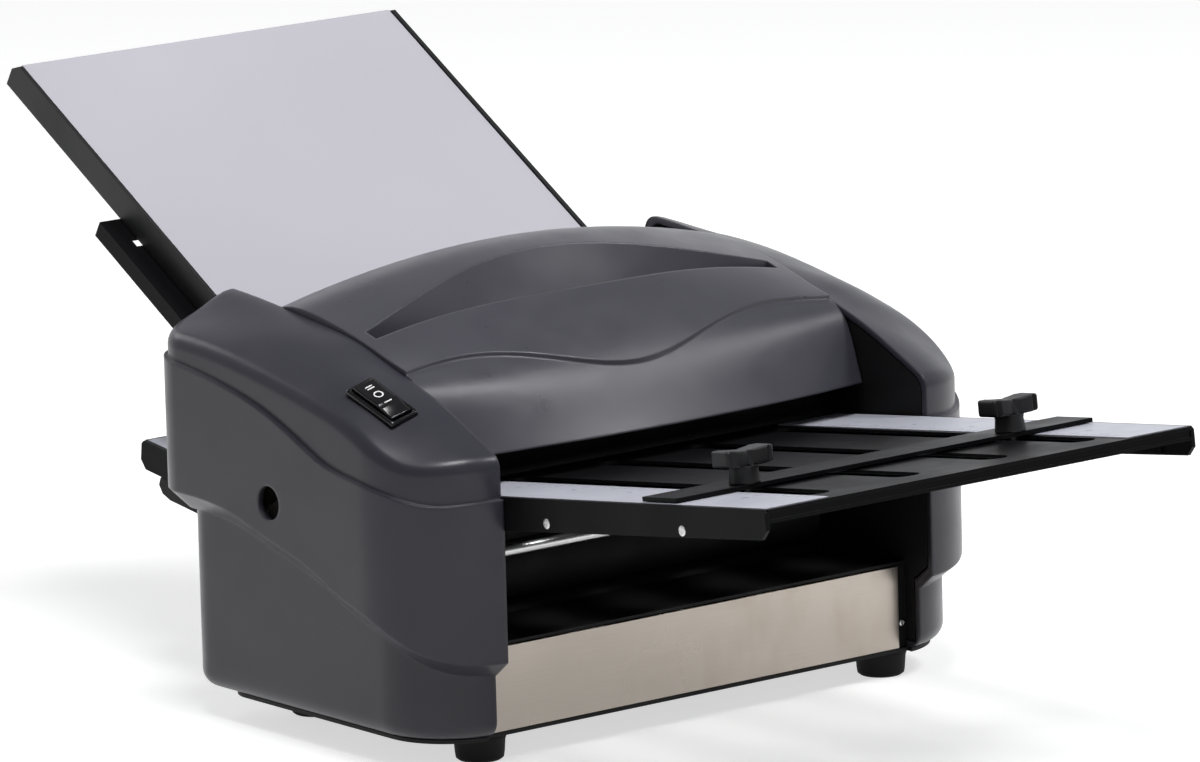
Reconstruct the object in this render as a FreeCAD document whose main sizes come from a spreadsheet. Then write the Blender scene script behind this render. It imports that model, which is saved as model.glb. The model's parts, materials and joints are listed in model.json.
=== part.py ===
"""Desktop paper folding machine with two fold tables, as a parametric FreeCAD document.

Millimetres. +Z is up, +X is to the right seen from the front, and the front faces -Y. The origin
is on the standing surface, in the middle of the footprint. Pieces are built about the machine
datum, a vertical plane near the fold rollers, and body_offset moves them to the footprint's middle.
"""

import FreeCAD, Part
import math
import os
import re

import Sketcher
from FreeCAD import Placement, Rotation, Vector

doc = FreeCAD.newDocument("paper_folding_machine")
sheet = doc.addObject("Spreadsheet::Sheet", "Sizes")

SIZES = (
    ("body_offset", -16.98, "machine datum, measured from the middle of the footprint"),
    ("table_gap", 0.3, "between a fold table and the inner edge of a side cover"),
    # side covers
    ("cover_half_width", 167.0, "mid-plane to the outer face of a side cover"),
    ("cover_wall", 3.0, "moulded wall of the covers"),
    ("cover_rear", 120.0, "rear face of a side cover"),
    ("cover_rear_radius", 23.0, "rear vertical corner of a side cover"),
    ("corner_start", -38.0, "where the front corner of a side cover begins to curve in"),
    ("corner_depth", 49.0, "reach of that front corner along Y"),
    ("top_wall", 2.5, "moulded wall of the top cover"),
    ("top_gap", 0.3, "between the top cover and a side cover"),
    ("front_zone_step", 1.6, "front zone of the top cover, below the zone behind it"),
    ("top_lip", 133.0, "lower edge of the top cover's front"),
    ("corner_margin", 4.6, "inner edge of a side cover, outside the axis of its front corner"),
    ("cap_inset", 2.0, "step of the cap above the ridge line"),
    ("cap_fillet", 8.0, "rounding of the cap's outer edge"),
    ("skirt_inset", 9.5, "step of the skirt below the belly, at its side and front"),
    ("skirt_rear_inset", 12.0, "step of the skirt below the belly, at its rear"),
    ("skirt_rear_radius", 18.0, "rear vertical corner of the skirt"),
    ("skirt_foot", 13.5, "underside of the side covers"),
    ("skirt_fillet", 8.0, "rounding of the skirt's bottom edge"),
    ("access_hole", 7.8, "radius of the hand-turn hole in the left cover"),
    # frame
    ("foot_height", 11.5, "rubber foot"),
    ("foot_radius", 12.0, "rubber foot"),
    ("foot_spread", 116.5, "mid-plane to a foot"),
    ("foot_front", -56.0, "front pair of feet"),
    ("foot_rear", 66.0, "rear pair of feet"),
    ("base_plate", 2.0, "steel base plate"),
    ("base_front", -68.0, "front edge of the base plate"),
    ("base_inset", 6.0, "edge of the base plate, inside the skirt"),
    ("base_rear", 90.0, "rear edge of the base plate"),
    ("frame_plate", 3.0, "side frame sheet"),
    ("frame_gap", 0.4, "side frame, set back from the cover's inner edge"),
    ("frame_clearance", 0.5, "side frame's outline, inside the cover wall"),
    ("flange_reach", 15.0, "flanges of a side frame, inwards"),
    ("panel_top", 52.0, "top edge of the steel front panel"),
    ("panel_gap", 4.6, "end of the steel front panel, inside the covers' inner edge"),
    ("panel_sheet", 1.5, "steel front and rear panels"),
    ("rear_panel_top", 71.0, "top edge of the rear panel"),
    ("tie_radius", 2.5, "cross rods between the side frames"),
    ("front_tie_y", -66.0, "front cross rod, along Y"),
    ("front_tie_z", 94.5, "front cross rod, above the standing surface"),
    ("upper_tie_y", 47.0, "upper cross rod, along Y"),
    ("upper_tie_z", 158.0, "upper cross rod, above the standing surface"),
    ("lower_tie_y", 62.0, "lower cross rod, along Y"),
    ("lower_tie_z", 23.0, "lower cross rod, above the standing surface"),
    ("inlet_x", -84.2, "middle of the mains inlet, across"),
    ("inlet_z", 36.3, "middle of the mains inlet, above the standing surface"),
    ("inlet_width", 27.0, "mains inlet case"),
    ("inlet_height", 20.0, "mains inlet case"),
    # rollers and drive
    ("roller_pitch", 28.4, "distance between neighbouring fold rollers"),
    ("roller_radius", 14.0, "outside of a fold roller's rubber"),
    ("roller_rubber", 3.0, "rubber on a fold roller"),
    ("roller_gap", 5.6, "end of the rubber, inside the covers' inner edge"),
    ("shaft_radius", 4.0, "roller shafts"),
    ("bush_radius", 6.5, "shaft bushes"),
    ("running_gap", 0.05, "radial clearance of shafts and wheels"),
    ("rest_gap", 0.3, "between pieces that only rest or slide on each other"),
    ("nip_datum", -2.0, "first nip, along Y"),
    ("sheet_depth", 3.0, "from a table's top plate down to the sheet"),
    ("teeth_roller", 28.0, "gear teeth on every fold roller"),
    ("teeth_idler", 40.0, "gear teeth of the idler"),
    ("teeth_feed", 44.0, "gear teeth of the feed roller"),
    ("teeth_wheel", 44.0, "large wheel of the reduction gear"),
    ("teeth_pinion", 16.0, "small wheel of the reduction gear"),
    ("teeth_motor", 12.0, "motor pinion"),
    ("gear_face", 6.0, "face width of the gears"),
    ("gear_space", 2.0, "between two planes of gears"),
    ("idler_datum", 28.0, "idler axis, behind the hand-turn hole, along Y"),
    ("idler_height", 111.0, "idler axis above the standing surface"),
    ("reduction_angle", -69.0, "from the idler axis to the reduction gear's axis"),
    ("motor_angle", -75.0, "from the reduction gear's axis to the motor"),
    ("motor_radius", 17.0, "motor case"),
    ("motor_length", 68.0, "motor case"),
    # feed tray
    ("tray_tilt", 31.0, "slope of the feed tray, rising to the rear"),
    ("stack_foot", 54.0, "lower end of the stack's top sheet, along Y"),
    ("stack_height", 127.0, "lower end of the stack's top sheet, above the standing surface"),
    ("sheet_width", 215.9, "letter sheet"),
    ("sheet_length", 279.4, "letter sheet"),
    ("stack_thick", 11.4, "loaded stack"),
    ("tray_drop", 13.5, "from the top sheet to the tray's surface"),
    ("tray_gap", 1.1, "side of the tray, inside the covers' inner edge"),
    ("tray_sheet", 2.0, "tray and guide sheet"),
    ("tray_start", 27.0, "lower edge of the tray, from the stack's lower end"),
    ("tray_end", 180.0, "upper edge of the tray, from the stack's lower end"),
    ("tray_flange", 8.0, "side flanges of the tray"),
    ("guide_height", 14.2, "paper guide above the tray"),
    ("guide_over", 3.0, "paper guide past the stack's upper end"),
    ("feed_radius", 10.0, "rubber rings of the feed roller"),
    # fold tables
    ("table_margin", 14.35, "side of a fold table, outside the sheet's edge"),
    ("table_rail", 2.0, "side rail sheet"),
    ("rail_inner", 15.5, "depth of a side rail at its inner end"),
    ("rail_outer", 13.0, "depth of a side rail at its outer end"),
    ("table_plate", 1.5, "slotted top plate and lower plate"),
    ("chute_gap", 3.0, "space for the sheet between the two plates"),
    ("slot_width", 14.0, "long slots of the plates"),
    ("slot_pitch", 50.6, "between neighbouring slots"),
    ("slot_margin", 16.5, "plate left at the outer end of a slot"),
    ("scale_gap", 2.4, "ruler strip, outside the nearest slot"),
    ("scale_thick", 0.4, "ruler strips"),
    ("front_tilt", 7.0, "front table, rising to the front"),
    ("front_edge", -267.8, "outer end of the front table, along Y"),
    ("front_height", 146.3, "outer end of the front table, above the standing surface"),
    ("front_length", 252.0, "front table"),
    ("rear_tilt", 7.2, "rear table, rising to the rear"),
    ("rear_edge", 187.0, "outer end of the rear table, along Y"),
    ("rear_length", 175.0, "rear table"),
    ("bar_width", 24.0, "stop bar"),
    ("bar_thick", 2.0, "stop bar"),
    ("bar_gap", 3.3, "end of a stop bar, inside the table's side"),
    ("bar_lift", 0.8, "stop bar above the top plate"),
    ("front_stop", 76.0, "front stop bar, from the table's outer end"),
    ("rear_stop", 52.0, "rear stop bar, from the table's outer end"),
    ("knob_offset", 6.0, "knobs, from the bar's middle towards the table's outer end"),
    ("knob_stem_radius", 7.0, "stem of a stop knob"),
    ("knob_stem", 7.5, "stem of a stop knob"),
    ("knob_head", 8.0, "head of a stop knob"),
    ("knob_span", 26.0, "head of a stop knob, across"),
    ("knob_depth", 13.0, "head of a stop knob, the short way"),
    ("stud_radius", 2.5, "stud of a stop knob"),
    # switch
    ("switch_x", -145.0, "middle of the rocker switch, across"),
    ("switch_y", -29.5, "middle of the rocker switch, along Y"),
    ("switch_length", 32.3, "rocker switch, bezel"),
    ("switch_width", 15.8, "rocker switch, bezel"),
    ("switch_rim", 2.2, "rocker switch, bezel"),
    ("switch_depth", 14.0, "rocker switch, below its bezel"),
    # fasteners
    ("boss_radius", 5.0, "screw bosses of the side covers"),
    ("screw_head", 3.2, "radius of a screw head"),
    ("screw_shank", 1.6, "radius of a screw shank"),
    ("screw_rise", 1.8, "height of a screw head"),
    ("panel_screw", 1.8, "radius of a front panel screw's head"),
    ("panel_screw_gap", 2.1, "front panel screws, inside the covers' inner edge"),
    ("panel_screw_z", 25.0, "front panel screws, above the standing surface"),
)
for row, (alias, value, note) in enumerate(SIZES, start=1):
    sheet.set(f"A{row}", alias)
    sheet.set(f"B{row}", str(value))
    sheet.set(f"C{row}", note)
    sheet.setAlias(f"B{row}", alias)
doc.recompute()

# Sizes that follow from the sheet's width and the clearances across the machine.
WORKED_OUT = {
    "table_half": ((0.5, "sheet_width"), (1, "table_margin")),
    "half_gap": ((1, "table_half"), (1, "table_gap")),
    "corner_axis": ((1, "half_gap"), (-1, "corner_margin")),
    "panel_half": ((1, "half_gap"), (-1, "panel_gap")),
    "panel_screw_x": ((1, "half_gap"), (-1, "panel_screw_gap")),
    "roller_half": ((1, "half_gap"), (-1, "roller_gap")),
    "tray_half": ((1, "half_gap"), (-1, "tray_gap")),
    "bar_half": ((1, "table_half"), (-1, "bar_gap")),
    "scale_width": ((1, "table_half"), (-1, "table_rail"), (-1.5, "slot_pitch"), (-0.5, "slot_width"),
                    (-1, "scale_gap")),
}

pieces = []


# ---------------------------------------------------------------- helpers

def size(alias):
    """A size from the sheet, or one that follows from others."""
    if alias in WORKED_OUT:
        return sum(share * size(name) for share, name in WORKED_OUT[alias])
    return float(sheet.get(alias))


def in_aliases(match):
    """A name of a formula as the sheet's alias, or as the sum of aliases that it stands for."""
    name = match[1]
    if name not in WORKED_OUT:
        return "Sizes." + name
    terms = " + ".join(f"{share} * {term}" for share, term in WORKED_OUT[name])
    return "(" + re.sub(NAME, in_aliases, terms) + ")"


NAME = r"\b([a-z]\w+)"


def bind(obj, prop, value):
    """Sets a property to a number, or ties it to the sheet by an expression of aliases."""
    if isinstance(value, str):
        obj.setExpression(prop, re.sub(NAME, in_aliases, value))
    else:
        obj.setExpression(prop, repr(float(value)))


def block(name, low, span):
    """A box by its low corner and its sides."""
    box = doc.addObject("Part::Box", name)
    for prop, value in zip(("x", "y", "z"), low):
        bind(box, "Placement.Base." + prop, value)
    for prop, value in zip(("Length", "Width", "Height"), span):
        bind(box, prop, value)
    return box


AXES = {"X": Rotation(Vector(0, 1, 0), 90), "Y": Rotation(Vector(1, 0, 0), -90), "Z": Rotation()}


def rod(name, axis, start, radius, length):
    """A cylinder along a row axis, from its start point."""
    cylinder = doc.addObject("Part::Cylinder", name)
    cylinder.Placement = Placement(Vector(), AXES[axis])
    for prop, value in zip(("x", "y", "z"), start):
        bind(cylinder, "Placement.Base." + prop, value)
    bind(cylinder, "Radius", radius)
    bind(cylinder, "Height", length)
    return cylinder


def across(name, start_x, spot, radius, length):
    """A cylinder along X at a (y, z) spot."""
    return rod(name, "X", (start_x, spot[0], spot[1]), radius, length)


def fuse(name, items):
    """The union of document objects."""
    union = doc.addObject("Part::MultiFuse", name)
    union.Shapes = list(items)
    union.Refine = True
    return union


def cut(name, base, tools):
    """A document object with others taken out of it."""
    result = doc.addObject("Part::Cut", name)
    result.Base = base
    result.Tool = tools[0] if len(tools) == 1 else fuse(name + "_tools", tools)
    result.Refine = True
    return result


def extrusion(name, points, length):
    """A prism along +X on a closed outline of (x, y, z) points."""
    outline = doc.addObject("Part::Polygon", name + "_outline")
    outline.Nodes = [Vector(*point) for point in points]
    outline.Close = True
    prism = doc.addObject("Part::Extrusion", name)
    prism.Base = outline
    prism.DirMode = "Custom"
    prism.Dir = Vector(1, 0, 0)
    prism.Solid = True
    bind(prism, "LengthFwd", length)
    return prism


def feature(name, shape):
    """A shape made with Part's own functions."""
    obj = doc.addObject("Part::Feature", name)
    obj.Shape = shape
    return obj


def piece(label, *objects, placement=None):
    """A sub-part: its solids under one label, moved from the machine datum to the row frame."""
    group = doc.addObject("Part::Compound", label)
    group.Label = label
    group.Links = list(objects)
    if placement:
        group.Placement = placement
        bind(group, "Placement.Base.y", f"body_offset + {placement.Base.y!r}")
    else:
        bind(group, "Placement.Base.y", "body_offset")
    pieces.append(group)
    return group


def new_body(label, placement=None):
    """A PartDesign body that is a sub-part."""
    body = doc.addObject("PartDesign::Body", label)
    body.Label = label
    if placement:
        body.Placement = placement
    base_y = placement.Base.y if placement else 0.0
    bind(body, "Placement.Base.y", f"body_offset + {base_y!r}")
    pieces.append(body)
    return body


def sketch_on(body, plane, name, height=0.0):
    """A sketch on one of the body's own origin planes, raised along the plane's normal."""
    sketch = body.newObject("Sketcher::SketchObject", name)
    roles = {entry.Role: entry for entry in body.Origin.OriginFeatures}
    sketch.AttachmentSupport = [(roles[plane], "")]
    sketch.MapMode = "FlatFace"
    bind(sketch, "AttachmentOffset.Base.z", height)
    return sketch


def outline(sketch, points):
    """A closed outline of straight lines in a sketch."""
    first = sketch.GeometryCount
    spots = [Vector(x, y, 0) for x, y in points]
    for start, end in zip(spots, spots[1:] + spots[:1]):
        sketch.addGeometry(Part.LineSegment(start, end), False)
    for index in range(len(spots)):
        follower = first + (index + 1) % len(spots)
        sketch.addConstraint(Sketcher.Constraint("Coincident", first + index, 2, follower, 1))


def oblong(sketch, middle, width, length):
    """A slot outline along the sketch's Y axis, with its width tied to the sheet."""
    half, run = size(width) / 2, length / 2 - size(width) / 2
    first = sketch.GeometryCount
    x, y = middle
    low, high = Vector(x, y - run, 0), Vector(x, y + run, 0)
    up = Vector(0, 0, 1)
    sketch.addGeometry(Part.ArcOfCircle(Part.Circle(high, up, half), 0, math.pi), False)
    sketch.addGeometry(Part.ArcOfCircle(Part.Circle(low, up, half), math.pi, 2 * math.pi), False)
    sketch.addGeometry(Part.LineSegment(high - Vector(half, 0, 0), low - Vector(half, 0, 0)), False)
    sketch.addGeometry(Part.LineSegment(low + Vector(half, 0, 0), high + Vector(half, 0, 0)), False)
    for ends in ((0, 2, 2, 1), (2, 2, 1, 1), (1, 2, 3, 1), (3, 2, 0, 1)):
        sketch.addConstraint(Sketcher.Constraint("Tangent", first + ends[0], ends[1],
                                                 first + ends[2], ends[3]))


def circle(sketch, middle, radius):
    """A circle with its radius tied to the sheet."""
    index = sketch.addGeometry(Part.Circle(Vector(*middle, 0), Vector(0, 0, 1), 1.0), False)
    sketch.addConstraint(Sketcher.Constraint("Radius", index, 1.0))
    bind(sketch, f"Constraints[{sketch.ConstraintCount - 1}]", radius)


def pad(body, sketch, length, name, reversed_=False, midplane=False):
    """A pad whose length is tied to the sheet."""
    pad_ = body.newObject("PartDesign::Pad", name)
    pad_.Profile = sketch
    bind(pad_, "Length", length)
    pad_.Reversed = reversed_
    pad_.Midplane = midplane
    return pad_


def pocket(body, sketch, name, reversed_=False):
    """A pocket through the whole body, both ways from its sketch."""
    pocket_ = body.newObject("PartDesign::Pocket", name)
    pocket_.Profile = sketch
    pocket_.Type = "ThroughAll"
    pocket_.Midplane = True
    pocket_.Reversed = reversed_
    return pocket_


def turned(body, name, points, plane="XY_Plane", axis="H_Axis"):
    """A revolution of a stepped outline about an axis of its sketch."""
    sketch = sketch_on(body, plane, name + "_profile")
    outline(sketch, points)
    turn = body.newObject("PartDesign::Revolution", name)
    turn.Profile = sketch
    turn.ReferenceAxis = (sketch, [axis])
    turn.Angle = 360.0
    return turn


def polar(spot, radius, degrees):
    """The (y, z) point at a distance and angle from another, the angle from +Y towards +Z."""
    angle = math.radians(degrees)
    return spot[0] + radius * math.cos(angle), spot[1] + radius * math.sin(angle)


def direction(start, end):
    """The angle in degrees from one (y, z) spot to another."""
    return math.degrees(math.atan2(end[1] - start[1], end[0] - start[0]))


# ---------------------------------------------------------------- places worked out from the sizes

frame_in = size("half_gap") + size("frame_gap")
frame_out = frame_in + size("frame_plate")
base_top = size("foot_height") + size("base_plate")
pitch = size("roller_pitch")
module = pitch / size("teeth_roller")

front_slope = math.tan(math.radians(size("front_tilt")))
nip_first = (size("nip_datum"),
             size("front_height") - size("sheet_depth") / math.cos(math.radians(size("front_tilt")))
             - front_slope * (size("nip_datum") - size("front_edge")))
roller_1 = polar(nip_first, pitch / 2, 90 - size("front_tilt"))
roller_2 = polar(nip_first, pitch / 2, -90 - size("front_tilt"))
roller_3 = polar(roller_2, pitch, size("rear_tilt") - 90)
roller_4 = polar(roller_3, pitch, -90)
nip_second = polar(roller_2, pitch / 2, size("rear_tilt") - 90)
idler = (size("idler_datum"), size("idler_height"))


def mesh_distance(first, second):
    """Distance between the axes of two meshed wheels, from their tooth counts."""
    return module * (size(first) + size(second)) / 2


reduction = polar(idler, mesh_distance("teeth_idler", "teeth_pinion"), size("reduction_angle"))
motor = polar(reduction, mesh_distance("teeth_wheel", "teeth_motor"), size("motor_angle"))

tray_turn = Rotation(Vector(1, 0, 0), size("tray_tilt"))
tray_place = Placement(Vector(0, size("stack_foot"), size("stack_height")), tray_turn)


def on_tray(along, above):
    """The (y, z) point at a distance up the tray and above the plane of the top sheet."""
    point = tray_place.multVec(Vector(0, along, above))
    return point.y, point.z



def feed_roller_axis():
    """The spot under the stack where the feed roller's gear meets the idler."""
    under = -size("stack_thick") - size("feed_radius") - size("rest_gap")
    start, tilt = on_tray(0, under), math.radians(size("tray_tilt"))
    gap = (start[0] - idler[0], start[1] - idler[1])
    along = gap[0] * math.cos(tilt) + gap[1] * math.sin(tilt)
    distance = mesh_distance("teeth_idler", "teeth_feed")
    run = -along + math.sqrt(along ** 2 - gap[0] ** 2 - gap[1] ** 2 + distance ** 2)
    return on_tray(run, under)


feed_axis = feed_roller_axis()

front_place = Placement(Vector(0, size("front_edge"), size("front_height")),
                        Rotation(Vector(1, 0, 0), -size("front_tilt")))
rear_slope = math.tan(math.radians(size("rear_tilt")))
rear_height = (nip_second[1] + rear_slope * (size("rear_edge") - nip_second[0])
               + size("sheet_depth") / math.cos(math.radians(size("rear_tilt"))))
rear_place = Placement(Vector(0, size("rear_edge"), rear_height),
                       Rotation(Vector(0, 0, 1), 180) * Rotation(Vector(1, 0, 0), -size("rear_tilt")))


# ---------------------------------------------------------------- moulded side covers

# Side view (y, z) of the covers, front to rear: the inner edge, the crown and the outer shoulder.
INNER_EDGE = ((-100, 134), (-61, 153), (-37, 163), (-7, 173), (17, 180), (45, 184.5), (75, 188),
              (98, 190), (140, 191))
CROWN = ((-100, 128), (-61, 147), (-37, 158), (-7, 169.5), (17, 174.5), (45, 179), (75, 181.8),
         (98, 182.6), (140, 183))
SHOULDER = ((-100, 120), (-61, 138.5), (-37, 152.5), (-7, 162.5), (17, 167.5), (45, 172.5), (75, 176.5),
            (98, 178), (140, 178.5))
RIDGE = ((-110, 125), (-86, 123.5), (-72, 122.3), (-61, 124.8), (-40, 129.7), (-12, 134.8), (3, 141),
         (32, 152.6), (62, 160), (92, 164.5), (150, 168))
STEP = ((-110, 42), (-78, 42.5), (-66, 47), (-50, 56), (-39, 61.5), (-24, 66), (4, 77.5), (34, 86),
        (63, 94), (96, 96.5), (150, 97))
FLOOR = -50.0


def lowered(curve, drop):
    """A side-view curve moved down."""
    return [(y, z - drop) for y, z in curve]


# Side views across a cover, as shares of the way from the corner's axis to the outer face.
CROWN_SHARE = 0.55
STATIONS = ((0.0, INNER_EDGE), (0.265, lowered(INNER_EDGE, 1.7)), (CROWN_SHARE, CROWN), (0.857, SHOULDER),
            (1.16, lowered(SHOULDER, 8.0)))


def below(x, curve):
    """The closed outline, in the plane at x, of everything under a side-view curve."""
    top = Part.BSplineCurve()
    top.interpolate([Vector(x, y, z) for y, z in curve])
    corners = [Vector(x, curve[-1][0], curve[-1][1]), Vector(x, curve[-1][0], FLOOR),
               Vector(x, curve[0][0], FLOOR), Vector(x, curve[0][0], curve[0][1])]
    return Part.Wire([top.toShape()] + [Part.makeLine(a, b) for a, b in zip(corners, corners[1:])])


def slab_below(curve, start, reach):
    """The solid under a side-view curve, drawn out along X."""
    return Part.Face(below(start, curve)).extrude(Vector(reach, 0, 0))


def plan_prism(inner, outer, depth, rear, radius, low, high):
    """An upright prism on the covers' plan: elliptic front corner, straight side, round rear."""
    axis, start = size("corner_axis"), size("corner_start")
    ellipse = Part.Ellipse(Vector(axis, start - depth, low), Vector(outer, start, low),
                           Vector(axis, start, low))
    front = Part.ArcOfEllipse(ellipse, math.asin((inner - axis) / (outer - axis)), math.pi / 2)
    turn = Vector(outer - radius, rear - radius, low)
    side, back = turn + Vector(radius, 0, 0), turn + Vector(0, radius, 0)
    middle = turn + Vector(radius, radius, 0) * math.sqrt(0.5)
    corner = Vector(inner, rear, low)
    wire = Part.Wire([front.toShape(), Part.makeLine(front.EndPoint, side),
                      Part.Arc(side, middle, back).toShape(), Part.makeLine(back, corner),
                      Part.makeLine(corner, front.StartPoint)])
    return Part.Face(wire).extrude(Vector(0, 0, high - low))


def off_inner_plane(edges, inner):
    """Edges that don't lie in the cover's open inner plane."""
    return [edge for edge in edges if abs(edge.CenterOfMass.x - inner) > 0.5]


def cover_solid(inner, inset):
    """The right cover's outer form as three tiers, or that form drawn in by an inset."""
    axis, reach = size("corner_axis"), size("cover_half_width") - inner + 20
    outer, depth = size("cover_half_width") - inset, size("corner_depth") - inset
    rear, radius = size("cover_rear") - inset, size("cover_rear_radius") - inset
    crown = Part.makeLoft([below(axis + share * (size("cover_half_width") - axis), lowered(curve, inset))
                           for share, curve in STATIONS], True, False)
    step = slab_below(lowered(STEP, -inset), inner - 10, reach)
    ridge = slab_below(RIDGE, inner - 10, reach)
    base = size("skirt_foot") + inset

    belly = plan_prism(inner, outer, depth, rear, radius, 0, 300).common(ridge).cut(step)
    underside = min(belly.Faces, key=lambda face: face.CenterOfMass.z)
    belly = belly.makeChamfer(size("skirt_inset") - 0.5, off_inner_plane(underside.Edges, inner))

    cap_in = size("cap_inset")
    cap = plan_prism(inner, outer - cap_in, depth - cap_in, rear - cap_in, radius - cap_in, 0, 300)
    cap = cap.common(crown).cut(slab_below(lowered(RIDGE, 6), inner - 10, reach))
    top = max((face for face in cap.Faces if face.normalAt(*middle_of(face)).z > 0.6),
              key=lambda face: face.Area)
    cap = cap.makeFillet(size("cap_fillet"), off_inner_plane(top.Edges, inner))

    skirt_in = size("skirt_inset")
    skirt = plan_prism(inner, outer - skirt_in, depth - skirt_in, rear - size("skirt_rear_inset"),
                       size("skirt_rear_radius") - inset, base, 200)
    skirt = skirt.common(slab_below(lowered(STEP, -inset - 12), inner - 10, reach))
    if not inset:
        foot = min(skirt.Faces, key=lambda face: face.CenterOfMass.z)
        skirt = skirt.makeFillet(size("skirt_fillet"), off_inner_plane(foot.Edges, inner))
    return belly.fuse([cap, skirt]).removeSplitter()


def middle_of(face):
    """The middle of a face's parameters."""
    u_low, u_high, v_low, v_high = face.ParameterRange
    return (u_low + u_high) / 2, (v_low + v_high) / 2


def turned_cylinder(x_low, spot, radius, length):
    """A cylinder along X, as a shape."""
    return Part.makeCylinder(radius, length, Vector(x_low, *spot), Vector(1, 0, 0))


COVER_SCREWS = ((-58.0, 34.0), (82.0, 34.0), (22.0, 143.0), (92.0, 160.0))


def side_cover():
    """The right cover: an open shell with four screw bosses that reach the side frame."""
    form = cover_solid(size("half_gap"), 0.0)
    shell = form.cut(cover_solid(size("corner_axis") + 1, size("cover_wall")))
    foot = Part.makeBox(frame_out + 0.3, size("base_rear") + 66, size("skirt_foot") + size("cover_wall") + 0.1,
                        Vector(0, -66.8, 0))
    shell = shell.cut(foot)
    bosses = []
    for spot in COVER_SCREWS:
        boss = turned_cylinder(frame_out, spot, size("boss_radius"), 60.0).common(form)
        bosses.append(boss.cut(turned_cylinder(frame_out, spot, size("screw_shank"), 12.0)))
    return shell.fuse(bosses)


right_shape = side_cover()
piece("right_side_cover", feature("right_cover_form", right_shape))
left_shape = right_shape.mirror(Vector(), Vector(1, 0, 0))


def cap_height(x, y):
    """Height of the left cover's outer skin over a point."""
    plumb = Part.makeLine(Vector(x, y, 120), Vector(x, y, 260))
    return max(vertex.Z for vertex in left_shape.section(plumb).Vertexes)


def switch_placement():
    """The switch's frame: origin on the cap's skin, Z along the skin's normal, Y to the rear."""
    x, y, step = size("switch_x"), size("switch_y"), 5.0
    rise_x = (cap_height(x + step, y) - cap_height(x - step, y)) / (2 * step)
    rise_y = (cap_height(x, y + step) - cap_height(x, y - step)) / (2 * step)
    normal = Vector(-rise_x, -rise_y, 1).normalize()
    across_ = Vector(1, 0, rise_x).normalize()
    along = normal.cross(across_)
    turn = FreeCAD.Matrix(across_.x, along.x, normal.x, 0, across_.y, along.y, normal.y, 0,
                          across_.z, along.z, normal.z, 0, 0, 0, 0, 1)
    return Placement(Vector(x, y, cap_height(x, y)), Rotation(turn))


def centred_box(width, length, low, high):
    """A box about the Z axis."""
    return Part.makeBox(width, length, high - low, Vector(-width / 2, -length / 2, low))


switch_place = switch_placement()
case_width, case_length = size("switch_width") - 2.4, size("switch_length") - 2.4
switch_hole = centred_box(case_width + 0.4, case_length + 0.4, -size("switch_depth") - 2, 10)
switch_hole.Placement = switch_place
hole_low = -size("cover_half_width") - 5
left_shape = left_shape.cut([turned_cylinder(hole_low, idler, size("access_hole"), 15.0), switch_hole])
piece("left_side_cover", feature("left_cover_form", left_shape))

# three-position rocker switch: a bezel with its case, and the rocker on two small pivots
cavity_width, cavity_length = case_width - 1.7, case_length - 1.0
PIVOT_DROP, PIVOT_RADIUS = 3.0, 1.2
bezel = centred_box(size("switch_width"), size("switch_length"), 0.3, size("switch_rim"))
bezel = bezel.fuse(centred_box(case_width, case_length, -size("switch_depth"), 0.3))
bezel = bezel.cut(centred_box(cavity_width, cavity_length, 1.5 - size("switch_depth"), 10))
pivot_bore = turned_cylinder(-20, (0, -PIVOT_DROP), PIVOT_RADIUS + 0.05, 40)
piece("switch_bezel", feature("bezel_form", bezel.cut(pivot_bore)), placement=switch_place)
half = cavity_length / 2 - 1.0
rocker_side = [(-half, 2.6), (0, 1.3), (half, 2.6), (half - 0.4, -3.5), (7, -8.5), (-7, -8.5), (-half + 0.4, -3.5)]
rocker_width = cavity_width - 0.5
rocker_face = Part.Face(Part.makePolygon([Vector(-rocker_width / 2, y, z) for y, z in rocker_side + rocker_side[:1]]))
rocker = rocker_face.extrude(Vector(rocker_width, 0, 0))
pivot = turned_cylinder(-case_width / 2 + 0.1, (0, -PIVOT_DROP), PIVOT_RADIUS, case_width - 0.2)
piece("switch_rocker", feature("rocker_form", rocker.fuse(pivot)), placement=switch_place)


# ---------------------------------------------------------------- frame

FRAME_HOLES = (("bush_radius", (roller_1, roller_2, roller_3, roller_4, feed_axis)),
               ("screw_shank", COVER_SCREWS))


def frame_outline():
    """The side frame's outline, inside the wall of the cover that it closes, as a face."""
    inset = size("cover_wall") + size("frame_clearance")
    wires = cover_solid(size("corner_axis") + 1, inset).slice(Vector(1, 0, 0), frame_out)
    outline_face = Part.Face(max(wires, key=lambda wire: wire.BoundBox.DiagonalLength))
    outline_face.translate(Vector(frame_in - frame_out, 0, 0))
    return outline_face


def side_frame():
    """The right side frame: a plate with a flange at its foot and one behind the front panel."""
    sheet_ = size("frame_plate")
    reach, front = size("flange_reach"), size("base_front") + size("panel_sheet")
    plate = frame_outline().extrude(Vector(sheet_, 0, 0))
    toe = Part.makeBox(sheet_, size("base_rear") - 2 - front, 8.0, Vector(frame_in, front, base_top))
    foot = Part.makeBox(reach, size("base_rear") - front - 12, sheet_,
                        Vector(frame_in - reach, front, base_top))
    face = Part.makeBox(reach, sheet_, size("panel_top") - base_top,
                        Vector(frame_in - reach, front, base_top))
    plate = plate.fuse([toe, foot, face]).removeSplitter()
    holes = [Part.makeCylinder(size("panel_screw") / 2 + 0.1, 10, Vector(size("panel_screw_x"), front - 2, size("panel_screw_z")),
                               Vector(0, 1, 0))]
    holes += [turned_cylinder(frame_in - 1, spot, size(radius), sheet_ + 2)
             for radius, spots in FRAME_HOLES for spot in spots]
    return plate.cut(holes)


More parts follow.
